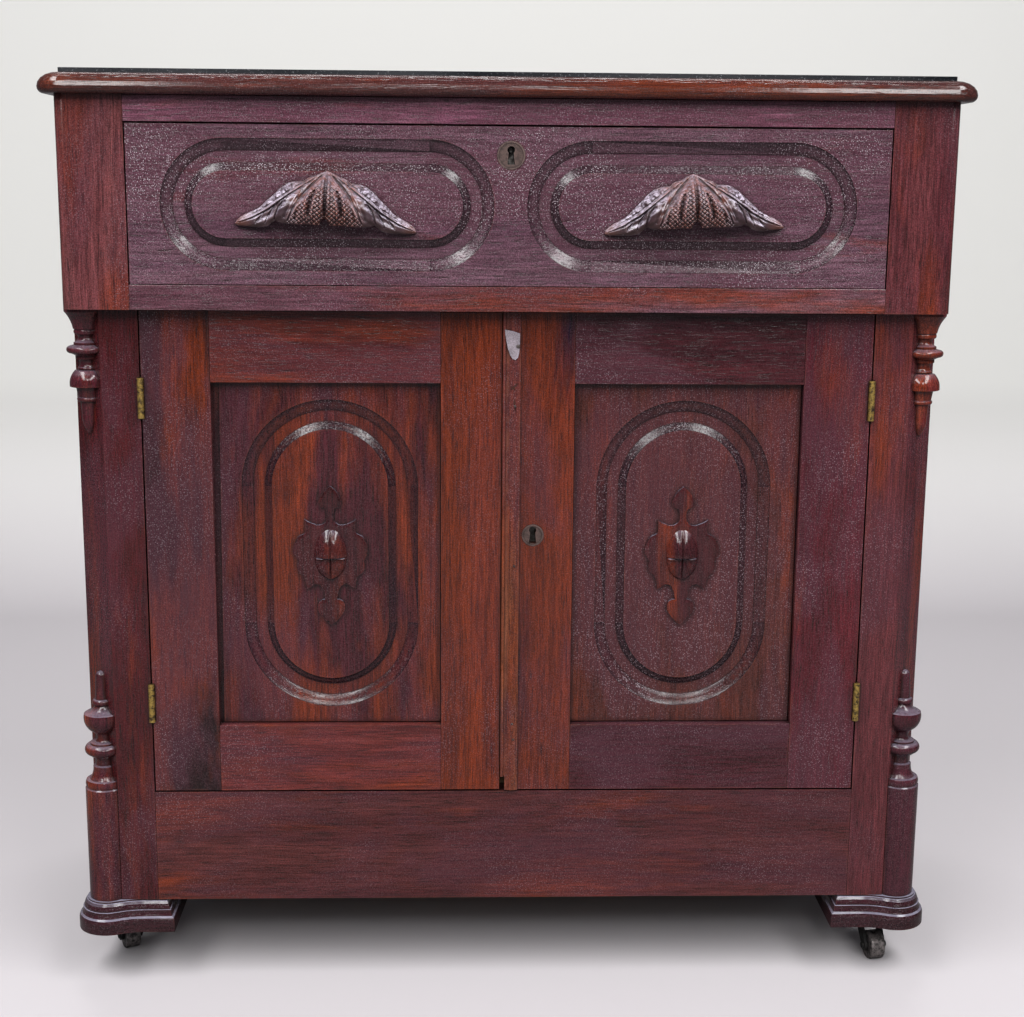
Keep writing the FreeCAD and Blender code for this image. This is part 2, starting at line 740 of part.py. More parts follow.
def meeting_bevel(edge_x, way):
    """Wedge planed off a door's free edge, so that its back corner clears when the door swings.

    way is the side of the edge that is free, 1 towards the right and -1 towards the left."""
    front = lower_front_y
    back = lower_front_y + door_thickness
    plan = [point(edge_x, front, door_bottom_z - cut_overrun),
            point(edge_x + way * cut_overrun, front, door_bottom_z - cut_overrun),
            point(edge_x + way * cut_overrun, back + cut_overrun, door_bottom_z - cut_overrun),
            point(edge_x - way * door_edge_bevel * (door_thickness + cut_overrun) / door_thickness,
                  back + cut_overrun, door_bottom_z - cut_overrun)]
    return prism(plan, Up * (door_height + 2 * cut_overrun))


def moulding_x(x_range):
    """Middle of a door's sunk moulding, which sits a little nearer the joint between the doors."""
    middle = (x_range[0] + x_range[1]) / 2
    return middle - math.copysign(door_sunk_shift, middle)


def door_panel(x_range, shrunk):
    """Panel with a thin tongue all round and a thicker field, which carries the sunk moulding."""
    tongue_y = (lower_front_y + panel_groove_start + panel_play / 2,
                lower_front_y + panel_groove_start + panel_groove_width - panel_play / 2)
    tongue = box((x_range[0] - panel_tongue_reach, x_range[1] + panel_tongue_reach), tongue_y,
                 (panel_bottom_z - panel_tongue_reach, panel_top_z + panel_tongue_reach))
    field_y = lower_front_y + panel_recess
    gap_top = panel_shrink_top if shrunk else panel_field_gap
    gap_bottom = panel_shrink_bottom if shrunk else panel_field_gap
    low, high = panel_bottom_z + panel_field_gap, panel_top_z - panel_field_gap
    right = x_range[1] - panel_field_gap
    field = prism([point(x_range[0] + gap_bottom, field_y, low), point(right, field_y, low),
                   point(right, field_y, high), point(x_range[0] + gap_top, field_y, high)],
                  Back * panel_thickness)
    channel = sunk_moulding(moulding_x(x_range), field_y, panel_centre_z, door_sunk_short, True)
    return cut(joined([tongue, field]), [channel])


def make_doors():
    """Two framed doors. The right one carries the lock and the astragal that hides the joint."""
    y_range = (lower_front_y, lower_front_y + door_thickness)
    z_range = (door_bottom_z, door_top_z)
    seats = hinge_seats()["door"]
    left_seats = [mirrored(seat) for seat in seats]
    lock_y = (lower_front_y + door_thickness - lock_case_depth, lower_front_y + door_thickness)
    case, bolt, case_block = lock_parts(door_key_x, door_key_height, lock_y[0], lock_y[1], -Across)
    key_cuts = key_openings(door_key_x, lower_front_y, door_key_height, door_key_plate_radius, door_thickness)

    bolt_y = (lock_y[1] - lock_wall - bolt_play - bolt_thickness, lock_y[1] - lock_wall - bolt_play)
    bolt_mortise = box((left_door_edge + cut_overrun,
                        right_door_edge - door_bolt_travel - mortise_play),
                       (bolt_y[0] - mortise_play, bolt_y[1] + mortise_play),
                       (door_key_height - bolt_width / 2 - mortise_play,
                        door_key_height + bolt_width / 2 + mortise_play))

    frames = [("left_door", left_panel_x, (-door_outer, left_door_edge), left_seats, 1, [bolt_mortise]),
              ("right_door", right_panel_x, (right_door_edge, door_outer), seats, -1,
               [case_block] + key_cuts)]
    for name, panel_x, door_x, door_seats, free_way, extra in frames:
        tenons = door_tenons(panel_x)
        groove = panel_space(panel_x)
        stiles = {"left": box((door_x[0], panel_x[0]), y_range, z_range),
                  "right": box((panel_x[1], door_x[1]), y_range, z_range)}
        bevel = meeting_bevel(door_x[1] if free_way == 1 else door_x[0], free_way)
        for side in stiles:
            tools = tenons + [groove]
            free = (side == "right") == (free_way == 1)
            tools += [bevel] + extra if free else door_seats
            part_name = "_meeting_stile" if free else "_hinge_stile"
            save(name + part_name, [cut(stiles[side], tools)])
        rails = []
        for tenon, rail_z in zip(tenons, ((door_bottom_z, panel_bottom_z), (panel_top_z, door_top_z))):
            rail = cut(box(panel_x, y_range, rail_z), [groove])
            rails.append(joined([rail, tenon]))
        save(name + "_rails", rails)
        save(name + "_panel", [door_panel(panel_x, name == "left_door")])
        save(name + "_ornament", [ornament(moulding_x(panel_x))])
    save("door_keyhole_plate", [key_plate(door_key_x, lower_front_y, door_key_height, door_key_plate_radius)])
    save("door_lock", [case])
    save("door_lock_bolt", [bolt])
    make_astragal()


def make_astragal():
    """Strip planted on the right door: a bead that stands over the joint, a quirk and a flat round."""
    face = lower_front_y
    left, right = astragal_left, astragal_right
    bead_end = left + astragal_bead_width
    round_start = bead_end + astragal_quirk_width
    quirk_y = face - astragal_thickness + astragal_quirk_depth
    front = face - astragal_thickness
    shoulder = face - astragal_thickness / 2
    z = door_bottom_z
    bead_top = point((left + bead_end) / 2, front, z)
    round_top = point((round_start + right) / 2, front, z)
    section = Part.Wire([Part.makeLine(point(right, face, z), point(left, face, z)),
                         Part.makeLine(point(left, face, z), point(left, shoulder, z)),
                         Part.Arc(point(left, shoulder, z), bead_top, point(bead_end, quirk_y, z)).toShape(),
                         Part.makeLine(point(bead_end, quirk_y, z), point(round_start, quirk_y, z)),
                         Part.Arc(point(round_start, quirk_y, z), round_top,
                                  point(right, shoulder, z)).toShape(),
                         Part.makeLine(point(right, shoulder, z), point(right, face, z))])
    strip = Part.Face(section).extrude(Up * door_height)
    broken = box((left - cut_overrun, right_door_edge), (front - cut_overrun, face + cut_overrun),
                 (z - cut_overrun, z + astragal_broken_length))
    save("astragal", [cut(strip, [broken])])


# Right half of the ornament's plaque, from its top point down to its bottom point: across as a share
# of its half width and up as a share of its half height.
plaque_shares = [(0.0, 1.0), (0.29, 0.81), (0.26, 0.73), (0.12, 0.68), (0.11, 0.62), (0.22, 0.45),
                 (0.43, 0.49), (0.66, 0.53), (0.66, 0.34), (0.89, 0.24), (1.0, 0.04),
                 (0.86, -0.07), (0.88, -0.19), (0.71, -0.28), (0.63, -0.48), (0.38, -0.41),
                 (0.22, -0.48), (0.17, -0.63), (0.35, -0.71), (0.28, -0.84), (0.0, -1.0)]
# The nut seen from its side: up as a share of its height above its crease line, and out as a share.
nut_upper_shares = [(1.0, 0.0), (0.82, 0.62), (0.45, 0.93), (0.0, 0.86)]
nut_lower_shares = [(0.0, 0.78), (-0.35, 0.52), (-0.72, 0.28), (-1.0, 0.0)]


def nut_half(x, y_face, crease_z, height, shares):
    """Half of the nut: a stack of flat-backed oval slices that narrows away from the crease."""
    slices = []
    for up, out in shares:
        half_width = max(nut_width / 2 * math.sqrt(1 - up * up), ornament_edge_round)
        depth = max(out * nut_projection, ornament_edge_round)
        z = crease_z + up * height
        left, right = point(x - half_width, y_face, z), point(x + half_width, y_face, z)
        swell = Part.Arc(left, point(x, y_face - depth, z), right).toShape()
        slices.append(Part.Wire([Part.makeLine(right, left), swell]))
    return stacked(slices)


def ornament(x):
    """Applied door ornament: the cut plaque with the nut standing on it."""
    face = lower_front_y + panel_recess
    right = [point(x + across * ornament_width / 2, face, panel_centre_z + up * ornament_height / 2)
             for across, up in plaque_shares]
    left = [point(2 * x - p.x, p.y, p.z) for p in reversed(right[1:-1])]
    plaque = prism(right + left, Back * -ornament_thickness)
    crease_z = panel_centre_z
    upper = nut_half(x, face, crease_z, nut_height * (1 - nut_break_share), nut_upper_shares)
    lower = nut_half(x, face, crease_z, nut_height * nut_break_share, nut_lower_shares)
    return joined([plaque, upper, lower])


def make_hinges():
    """Brass butt hinges: one leaf and three knuckles on the post, one leaf and two on the door."""
    fixed, moving = [], []
    knuckle = hinge_length / hinge_knuckle_count
    barrel_back = pin_y + hinge_barrel_radius + hinge_barrel_relief
    for z_middle in hinge_heights():
        start = z_middle - hinge_length / 2
        leaf_y = (barrel_back, barrel_back + hinge_leaf_depth)
        sets = {"fixed": [], "moving": []}
        for side, way in (("fixed", 1), ("moving", -1)):
            near = pin_x + way * hinge_leaf_spacing / 2
            leaf_x = (near, near + way * hinge_leaf_thickness)
            sets[side].append(box(leaf_x, leaf_y, (start, start + hinge_length)))
            for index in range(hinge_knuckle_count):
                if (index % 2 == 0) != (side == "fixed"):
                    continue
                low = start + index * knuckle + hinge_knuckle_gap / 2
                high = start + (index + 1) * knuckle - hinge_knuckle_gap / 2
                barrel = Part.makeCylinder(hinge_barrel_radius, high - low, point(pin_x, pin_y, low), Up)
                web = box(leaf_x, (pin_y, barrel_back), (low, high))
                sets[side] += [barrel, web]
        bore_radius = hinge_pin_radius + hinge_pin_play
        pin = Part.makeCylinder(hinge_pin_radius, hinge_length, point(pin_x, pin_y, start), Up)
        bore = Part.makeCylinder(bore_radius, hinge_length, point(pin_x, pin_y, start), Up)
        fixed.append(cut(joined(sets["fixed"]), [pin]))
        fixed.append(pin)
        moving.append(cut(joined(sets["moving"]), [bore]))
    save("hinge_leaves", fixed + [mirrored(piece) for piece in fixed])
    save("right_door_hinges", moving)
    save("left_door_hinges", [mirrored(piece) for piece in moving])


# Turned profiles from the top down. Each step is radius and drop as shares, and a step with four
# values is an arc through its first pair to its second pair.
pendant_profile_shares = [(1.0, 0.0), (1.0, 0.03), (0.74, 0.096, 0.61, 0.166), (0.55, 0.169),
                          (0.59, 0.188, 0.55, 0.206), (0.43, 0.213), (0.395, 0.233, 0.48, 0.26),
                          (0.61, 0.272), (0.61, 0.29), (0.78, 0.299), (0.95, 0.326, 0.78, 0.355),
                          (0.65, 0.364), (0.55, 0.375), (0.55, 0.4), (0.4, 0.408),
                          (0.365, 0.433, 0.41, 0.462), (0.465, 0.474, 0.44, 0.486), (0.6, 0.49),
                          (0.815, 0.546, 0.865, 0.604), (0.865, 0.616), (0.81, 0.62), (0.58, 0.625),
                          (0.505, 0.7), (0.56, 0.717, 0.505, 0.734), (0.405, 0.738), (0.355, 0.846),
                          (0.28, 0.933, 0.1, 0.986), (0.0, 0.996)]
finial_profile_shares = [(0.0, 0.0), (0.22, 0.016, 0.295, 0.054), (0.36, 0.242), (0.44, 0.246),
                         (0.51, 0.268, 0.45, 0.292), (0.4, 0.298), (0.54, 0.333, 0.87, 0.355),
                         (0.95, 0.363), (0.97, 0.381), (0.905, 0.457, 0.58, 0.519), (0.43, 0.538),
                         (0.36, 0.572, 0.42, 0.606), (0.69, 0.615), (0.69, 0.63), (0.84, 0.633),
                         (0.98, 0.674, 0.76, 0.72), (0.66, 0.737), (0.49, 0.75),
                         (0.46, 0.784, 0.48, 0.811), (0.59, 0.822), (0.63, 0.882, 0.78, 0.935),
                         (0.96, 0.938), (1.01, 0.968, 0.97, 1.0)]


def half_turning(shares, radius, height, top):
    """Half of a turned piece, flat side on the chamfered corner of the left-hand post."""
    places = [[(s[i] * radius, top - s[i + 1] * height) for i in range(0, len(s), 2)] for s in shares]
    at = point(0, 0, places[0][0][1])
    start = at
    edges = []
    for step in places:
        goal = point(step[-1][0], 0, step[-1][1])
        if goal.distanceToPoint(at) == 0:
            continue
        if len(step) == 2:
            edges.append(Part.Arc(at, point(step[0][0], 0, step[0][1]), goal).toShape())
        else:
            edges.append(Part.makeLine(at, goal))
        at = goal
    if at.x > 0:
        end = point(0, 0, at.z)
        edges.append(Part.makeLine(at, end))
        at = end
    edges.append(Part.makeLine(at, start))
    turned = Part.Face(Part.Wire(edges)).revolve(Origin, Up, -180)
    turned.rotate(Origin, Up, -45)
    turned.translate(point(corner_x, corner_y, 0))
    return turned


def make_turnings():
    """Split turnings: a drop under the drawer case, and a finial over a half-round column."""
    pendant = half_turning(pendant_profile_shares, pendant_radius, pendant_height, upper_case_z)
    save("pendant_left", [pendant])
    save("pendant_right", [mirrored(pendant)])
    column_top = base_z + column_height
    column_profile = [(1 - column_edge / column_radius, 0.0), (1.0, column_edge / column_height), (1.0, 1.0)]
    column = half_turning(column_profile, column_radius, column_height, column_top)
    finial = half_turning(finial_profile_shares, finial_radius, finial_height, column_top + finial_height)
    save("columns_and_finials", [column, finial, mirrored(column), mirrored(finial)])


# Foot moulding from the top down: inset as a share of the moulding's depth, drop as a share of the
# foot's height.
foot_level_shares = [(1.0, 0.0), (1.0, 0.045), (0.88, 0.055), (0.72, 0.13), (0.58, 0.25), (0.58, 0.3),
                     (0.47, 0.31), (0.45, 0.4), (0.32, 0.5), (0.12, 0.55), (0.03, 0.62), (0.0, 0.68),
                     (0.0, 1.0)]


def front_foot_plan(inset, z):
    """Plan of the left front foot: square at the inside, swelling in a serpentine round the column."""
    line_distance = chamfer_middle + foot_projection
    hollow_y = -(line_distance + foot_hollow_radius)
    hollow_x = math.sqrt((foot_bulge_radius + foot_hollow_radius) ** 2 - hollow_y ** 2)
    bulge = foot_bulge_radius - inset
    hollow = foot_hollow_radius + inset
    straight_y = -line_distance + inset
    joint_angle = math.atan2(hollow_y, hollow_x)
    joint = (bulge * math.cos(joint_angle), bulge * math.sin(joint_angle))
    half_angle = (joint_angle + math.pi / 2) / 2
    hollow_middle = (hollow_x - hollow * math.sin(half_angle), hollow_y + hollow * math.cos(half_angle))
    nose = -bulge * math.sqrt(2) / 2
    inner = half_case - chamfer_middle - (half_case - foot_inner_reach) - inset
    rear = foot_back_reach - chamfer_middle - inset

    def at(x, y):
        return point(corner_x + x, corner_y + y, z)
    half = [at(inner, straight_y), at(hollow_x, straight_y), at(*hollow_middle), at(*joint), at(nose, nose)]
    other = [at(joint[1], joint[0]), at(hollow_middle[1], hollow_middle[0]), at(straight_y, hollow_x),
             at(straight_y, rear)]
    return Part.Wire([Part.makeLine(half[0], half[1]), Part.Arc(half[1], half[2], half[3]).toShape(),
                      Part.Arc(half[3], half[4], other[0]).toShape(),
                      Part.Arc(other[0], other[1], other[2]).toShape(),
                      Part.makeLine(other[2], other[3]), Part.makeLine(other[3], at(inner, rear)),
                      Part.makeLine(at(inner, rear), half[0])])


def rear_foot_plan(inset, z):
    """Plan of the left rear foot: a rectangle, moulded on three sides and flat at the back."""
    left = -half_case - foot_projection + inset
    right = -half_case + foot_inner_reach - inset
    near = back_y - foot_back_reach + inset
    return Part.makePolygon([point(left, near, z), point(right, near, z), point(right, back_y, z),
                             point(left, back_y, z), point(left, near, z)])


def make_feet():
    """Moulded foot blocks under the four posts."""
    levels = [(inset * foot_moulding_depth, base_z - drop * foot_height)
              for inset, drop in reversed(foot_level_shares)]
    for name, plan in (("front_foot", front_foot_plan), ("rear_foot", rear_foot_plan)):
        foot = stacked([plan(inset, z) for inset, z in levels])
        if name == "front_foot":
            save("front_foot_left", [foot])
            save("front_foot_right", [mirrored(foot)])
        else:
            save("rear_feet", [foot, mirrored(foot)])


def caster_places():
    side = half_case - caster_side_inset
    front = lower_front_y + caster_end_inset
    rear = back_y - caster_end_inset
    return {"front_left": (-side, front), "front_right": (side, front),
            "rear_left": (-side, rear), "rear_right": (side, rear)}


def make_casters():
    """Small iron casters: a fixed plate and pin, a swivelling fork with its axle, and a wheel."""
    plate_z = foot_bottom_z - caster_plate_thickness
    crown_top = plate_z - caster_bearing_gap
    crown_z = crown_top - fork_crown_thickness
    head_top = crown_z - caster_bearing_gap
    arm_inner = wheel_width / 2 + wheel_side_gap
    arm_outer = arm_inner + fork_arm_thickness
    axle_z = wheel_radius
    axle_y = -wheel_trail

    crown = Part.makeCylinder(fork_crown_radius, fork_crown_thickness, point(0, 0, crown_z), Up)
    half_arm = fork_arm_width / 2
    arm_plan = [point(-arm_outer, half_arm, crown_z), point(-arm_outer, -half_arm, crown_z),
                point(-arm_outer, axle_y - fork_boss_radius, axle_z),
                point(-arm_outer, axle_y + fork_boss_radius, axle_z)]
    arm = prism(arm_plan, Across * fork_arm_thickness)
    boss = Part.makeCylinder(fork_boss_radius, fork_arm_thickness, point(-arm_outer, axle_y, axle_z), Across)
    axle = Part.makeCylinder(axle_radius, 2 * arm_outer, point(-arm_outer, axle_y, axle_z), Across)
    bore = Part.makeCylinder(caster_pin_radius + caster_pin_play, fork_crown_thickness + 2 * cut_overrun,
                             point(0, 0, crown_z - cut_overrun), Up)
    fork = cut(joined([crown, arm, boss, mirrored(arm), mirrored(boss)]), [bore, axle])
    head = Part.makeCylinder(axle_head_radius, axle_head_thickness,
                             point(-arm_outer - axle_head_thickness, axle_y, axle_z), Across)
    axle = joined([axle, head, mirrored(head)])

    tread = Part.makeCylinder(wheel_radius, wheel_width, point(-wheel_width / 2, axle_y, axle_z), Across)
    rims = [e for e in tread.Edges if isinstance(e.Curve, Part.Circle)]
    tread = tread.makeFillet(wheel_edge_round, rims)
    wheel_bore = Part.makeCylinder(axle_radius + axle_play, wheel_width + 2 * cut_overrun,
                                   point(-wheel_width / 2 - cut_overrun, axle_y, axle_z), Across)
    wheel = cut(tread, [wheel_bore])

    plate = Part.makeCylinder(caster_plate_radius, caster_plate_thickness, point(0, 0, plate_z), Up)
    pin = Part.makeCylinder(caster_pin_radius, plate_z - head_top, point(0, 0, head_top), Up)
    pin_head = Part.makeCylinder(caster_head_radius, caster_head_thickness,
                                 point(0, 0, head_top - caster_head_thickness), Up)
    plate = joined([plate, pin, pin_head])

    plates = []
    for name, (x, y) in caster_places().items():
        copies = []
        for piece in (fork, axle, wheel, plate):
            copy = piece.copy()
            if piece is not plate:
                copy.rotate(Origin, Up, caster_headings[name])
            copy.translate(point(x, y, 0))
            copies.append(copy)
        save("caster_fork_" + name, copies[:2])
        save("caster_wheel_" + name, [copies[2]])
        plates.append(copies[3])
    save("caster_plates", plates)


os.makedirs("parts", exist_ok=True)
make_top()
make_front_frame()
make_sides()
make_back_and_bottom()
make_slideways()
make_drawer()
make_pulls()
make_doors()
make_hinges()
make_turnings()
make_feet()
make_casters()
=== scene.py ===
import itertools
import math

import bmesh
import bpy
import numpy as np
from mathutils import Matrix, Vector


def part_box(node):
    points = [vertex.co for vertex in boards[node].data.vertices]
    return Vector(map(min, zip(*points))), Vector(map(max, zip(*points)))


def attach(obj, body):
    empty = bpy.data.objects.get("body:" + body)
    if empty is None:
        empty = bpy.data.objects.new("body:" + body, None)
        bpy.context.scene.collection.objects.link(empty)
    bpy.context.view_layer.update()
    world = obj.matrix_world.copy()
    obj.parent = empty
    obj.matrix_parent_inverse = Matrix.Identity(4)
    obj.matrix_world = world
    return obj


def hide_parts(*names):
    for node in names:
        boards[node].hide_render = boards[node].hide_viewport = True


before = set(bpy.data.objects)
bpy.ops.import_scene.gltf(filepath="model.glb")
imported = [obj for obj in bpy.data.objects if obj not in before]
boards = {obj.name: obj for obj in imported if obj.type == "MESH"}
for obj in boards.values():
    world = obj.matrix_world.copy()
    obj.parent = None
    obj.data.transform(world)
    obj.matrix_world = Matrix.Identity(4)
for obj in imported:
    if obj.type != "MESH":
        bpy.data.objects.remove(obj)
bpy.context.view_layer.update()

# Corner posts. The real posts are solid walnut, planed and chamfered down the outer corner below the
# drawer. They stand on the feet, and the rails are mortised into them. Their old varnish is dark
# and red, and it has blistered, bloomed and rubbed through to orange wood in places.


def place(tree, kind, wires=None, **settings):
    """Adds a shader node, whose inputs take either a value or another node's output."""
    made = tree.nodes.new("ShaderNode" + kind)
    for label, value in settings.items():
        setattr(made, label, value)
    for label, value in (wires or {}).items():
        if isinstance(value, bpy.types.NodeSocket):
            tree.links.new(value, made.inputs[label])
        else:
            made.inputs[label].default_value = value
    return made


def maths(tree, operation, first, second=0.0):
    return place(tree, "Math", {0: first, 1: second}, operation=operation).outputs[0]


def times(tree, first, second):
    return maths(tree, "MULTIPLY", first, second)


def vectors(tree, operation, first, second):
    return place(tree, "VectorMath", {0: first, 1: second}, operation=operation).outputs[0]


def between(tree, value, low, high, start=0.0, end=1.0, how="LINEAR"):
    """Spreads a value that runs from low to high over start to end, and holds it there."""
    wires = {0: value, 1: low, 2: high, 3: start, 4: end}
    return place(tree, "MapRange", wires, interpolation_type=how).outputs[0]


def mixed(tree, share, first, second, how="MIX"):
    """Two colours mixed by a share of the second."""
    made = place(tree, "Mix", {0: share, 6: first, 7: second}, data_type="RGBA", blend_type=how)
    return made.outputs[2]


def shaded(tree, colour, factor):
    """A colour made darker or lighter by a factor."""
    grey = place(tree, "CombineXYZ", {0: factor, 1: factor, 2: factor}).outputs[0]
    return mixed(tree, 1.0, colour, grey, "MULTIPLY")


def noise(tree, where, scale, detail=2.0, rough=0.5, bend=0.0):
    wires = {"Vector": where, "Scale": scale, "Detail": detail, "Roughness": rough, "Distortion": bend}
    return place(tree, "TexNoise", wires).outputs["Fac"]


def new_group(name, inputs, outputs):
    """An empty node group with named sockets, and its input and output nodes."""
    group = bpy.data.node_groups.new(name, "ShaderNodeTree")
    for label, kind in inputs:
        group.interface.new_socket(label, in_out="INPUT", socket_type="NodeSocket" + kind)
    for label, kind in outputs:
        group.interface.new_socket(label, in_out="OUTPUT", socket_type="NodeSocket" + kind)
    return group, group.nodes.new("NodeGroupInput"), group.nodes.new("NodeGroupOutput")


def new_material(name):
    """A fresh material, with its node tree and its shader."""
    material = bpy.data.materials.new(name)
    material.use_nodes = True
    return material, material.node_tree, material.node_tree.nodes["Principled BSDF"]


def wire_up(tree, shader, colour, rough, height, strength, depth):
    """Joins a colour, a roughness and a relief of that depth to a material's shader."""
    relief = place(tree, "Bump", {"Height": height, "Strength": strength, "Distance": depth})
    tree.links.new(colour, shader.inputs["Base Color"])
    tree.links.new(rough, shader.inputs["Roughness"])
    tree.links.new(relief.outputs["Normal"], shader.inputs["Normal"])


def make_wood_figure():
    """Straight-grained wood: broad bands, fine streaks and short open pores along the grain."""
    group, given, result = new_group(
        "wood figure",
        [("Place", "Vector"), ("Stretch", "Vector"), ("Dark", "Color"), ("Light", "Color"),
         ("Bare", "Color"), ("Worn", "Float"), ("Streaks", "Float"), ("Pores", "Float")],
        [("Colour", "Color"), ("Height", "Float")])
    place_in, stretch = given.outputs["Place"], given.outputs["Stretch"]
    wander = place(group, "TexNoise", {"Vector": place_in, "Scale": 5.0, "Detail": 1.0})
    sway = vectors(group, "MULTIPLY", wander.outputs["Color"], (0.012, 0.012, 0.012))
    along = vectors(group, "MULTIPLY", vectors(group, "ADD", place_in, sway), stretch)
    bands = between(group, noise(group, along, 26.0, 4.0, 0.6, 0.8), 0.3, 0.7)
    streaks = between(group, noise(group, along, 290.0, 3.0, 0.7), 0.4, 0.62)
    pores = between(group, noise(group, along, 1150.0, 1.0, 0.5), 0.6, 0.7)
    colour = mixed(group, bands, given.outputs["Dark"], given.outputs["Light"])
    bare = shaded(group, given.outputs["Bare"], between(group, bands, 0.0, 1.0, 0.72, 1.28))
    colour = mixed(group, given.outputs["Worn"], colour, bare)
    streak_share = times(group, streaks, given.outputs["Streaks"])
    darker = mixed(group, 1.0, colour, (0.36, 0.28, 0.27, 1.0), "MULTIPLY")
    colour = mixed(group, streak_share, colour, darker)
    fine = between(group, noise(group, along, 640.0, 2.0, 0.7), 0.36, 0.64, 0.68, 1.32)
    colour = shaded(group, colour, fine)
    pore_share = times(group, pores, given.outputs["Pores"])
    colour = mixed(group, pore_share, colour, (0.012, 0.005, 0.004, 1.0))
    group.links.new(colour, result.inputs["Colour"])
    height = maths(group, "ADD", times(group, pore_share, -1.0), times(group, streaks, 0.25))
    group.links.new(height, result.inputs["Height"])
    return group


def make_old_varnish():
    """Thick old varnish: scattered beads as a height, its gloss, and a greyish bloom as a mask."""
    group, given, result = new_group(
        "old varnish",
        [("Place", "Vector"), ("Stretch", "Vector"), ("Beads", "Float"), ("Bloom", "Float"),
         ("Gloss", "Float")],
        [("Height", "Float"), ("Roughness", "Float"), ("Film", "Float"), ("Specks", "Float")])
    where = given.outputs["Place"]
    spots = place(group, "TexVoronoi", {"Vector": where, "Scale": 620.0})
    bead = between(group, spots.outputs["Distance"], 0.5, 0.12, how="SMOOTHSTEP")
    # Only some beads are kept, and more of them in some patches than in others.
    chance = place(group, "SeparateColor", {0: spots.outputs["Color"]}).outputs[0]
    patches = between(group, noise(group, where, 11.0, 2.0, 0.6), 0.34, 0.6, 0.2, 1.0)
    kept = times(group, between(group, chance, 0.05, 0.7), patches)
    ripple = noise(group, where, 240.0, 1.0)
    slow = vectors(group, "POWER", given.outputs["Stretch"], (0.3, 0.3, 0.3))
    drawn = vectors(group, "MULTIPLY", where, slow)
    cover = between(group, noise(group, drawn, 11.0, 5.0, 0.58, 0.4), 0.42, 0.58, how="SMOOTHSTEP")
    # Specks mark the bead tops that get a painted glint.
    speck = times(group, between(group, spots.outputs["Distance"], 0.38, 0.18), kept)
    speck = times(group, speck, between(group, cover, 0.0, 1.0, 0.15, 1.0))
    group.links.new(speck, result.inputs["Specks"])
    height = times(group, times(group, bead, kept), given.outputs["Beads"])
    height = maths(group, "ADD", height, times(group, ripple, 0.14))
    group.links.new(height, result.inputs["Height"])
    film = times(group, cover, given.outputs["Bloom"])
    group.links.new(film, result.inputs["Film"])
    dull = between(group, noise(group, where, 26.0, 3.0), 0.3, 0.7, 0.0, 0.06)
    rough = maths(group, "ADD", maths(group, "ADD", given.outputs["Gloss"], dull),
                  times(group, film, 0.08))
    group.links.new(rough, result.inputs["Roughness"])
    return group


def make_rubbed_edges():
    """Where an arris is rubbed, how closed in a corner is, as a mask for darkening it, and where a hand has
    worn a face.
    """
    group, given, result = new_group(
        "rubbed edges",
        [("Place", "Vector"), ("Stretch", "Vector"), ("Width", "Float"), ("Rubbing", "Float"),
         ("Worn face", "Float")],
        [("Arris", "Float"), ("Corner", "Float"), ("Face", "Float")])
    where = given.outputs["Place"]
    inside = place(group, "AmbientOcclusion", {"Distance": given.outputs["Width"]}, samples=2, inside=True,
                   only_local=True)
    patchy = between(group, noise(group, where, 38.0, 4.0, 0.65), 0.42, 0.62)
    arris = between(group, inside.outputs["AO"], 0.98, 0.7)
    arris = times(group, times(group, arris, patchy), given.outputs["Rubbing"])
    group.links.new(arris, result.inputs["Arris"])
    outside = place(group, "AmbientOcclusion", {"Distance": 0.006}, samples=2)
    group.links.new(between(group, outside.outputs["AO"], 0.35, 0.85, 1.0, 0.0), result.inputs["Corner"])
    slow = vectors(group, "POWER", given.outputs["Stretch"], (0.55, 0.55, 0.55))
    cloud = noise(group, vectors(group, "MULTIPLY", where, slow), 16.0, 5.0, 0.6, 0.3)
    edge = maths(group, "SUBTRACT", 0.6, times(group, given.outputs["Worn face"], 0.3))
    face = between(group, cloud, edge, maths(group, "ADD", edge, 0.12))
    group.links.new(face, result.inputs["Face"])
    return group


wood_figure = make_wood_figure()
old_varnish = make_old_varnish()
rubbed_edges = make_rubbed_edges()
grain_along = {"x": (0.045, 1.0, 1.0), "y": (1.0, 0.045, 1.0), "z": (1.0, 1.0, 0.045)}
board_numbers = itertools.count(1)

# Tones of the varnish, of the wood under it, of what lies on it, and of painted shade, glints and sheen.
film_mauve = (0.062, 0.017, 0.027, 1.0)
sunk_shade_black = (0.012, 0.004, 0.007, 1.0)
dust_grey = (0.24, 0.175, 0.195, 1.0)
glint_pale = (0.40, 0.32, 0.36, 1.0)
arris_orange = (0.22, 0.07, 0.04, 1.0)
corner_shade = (0.012, 0.006, 0.006, 1.0)
settled_pale = (0.31, 0.30, 0.39, 1.0)
worn_orange = (0.145, 0.021, 0.004, 1.0)


def own_place(tree, step):
    """Where a shader is on its board, moved on for each board so that no two show the same figure."""
    spot = place(tree, "TexCoord").outputs["Object"]
    return vectors(tree, "ADD", spot, Vector(step) * next(board_numbers))


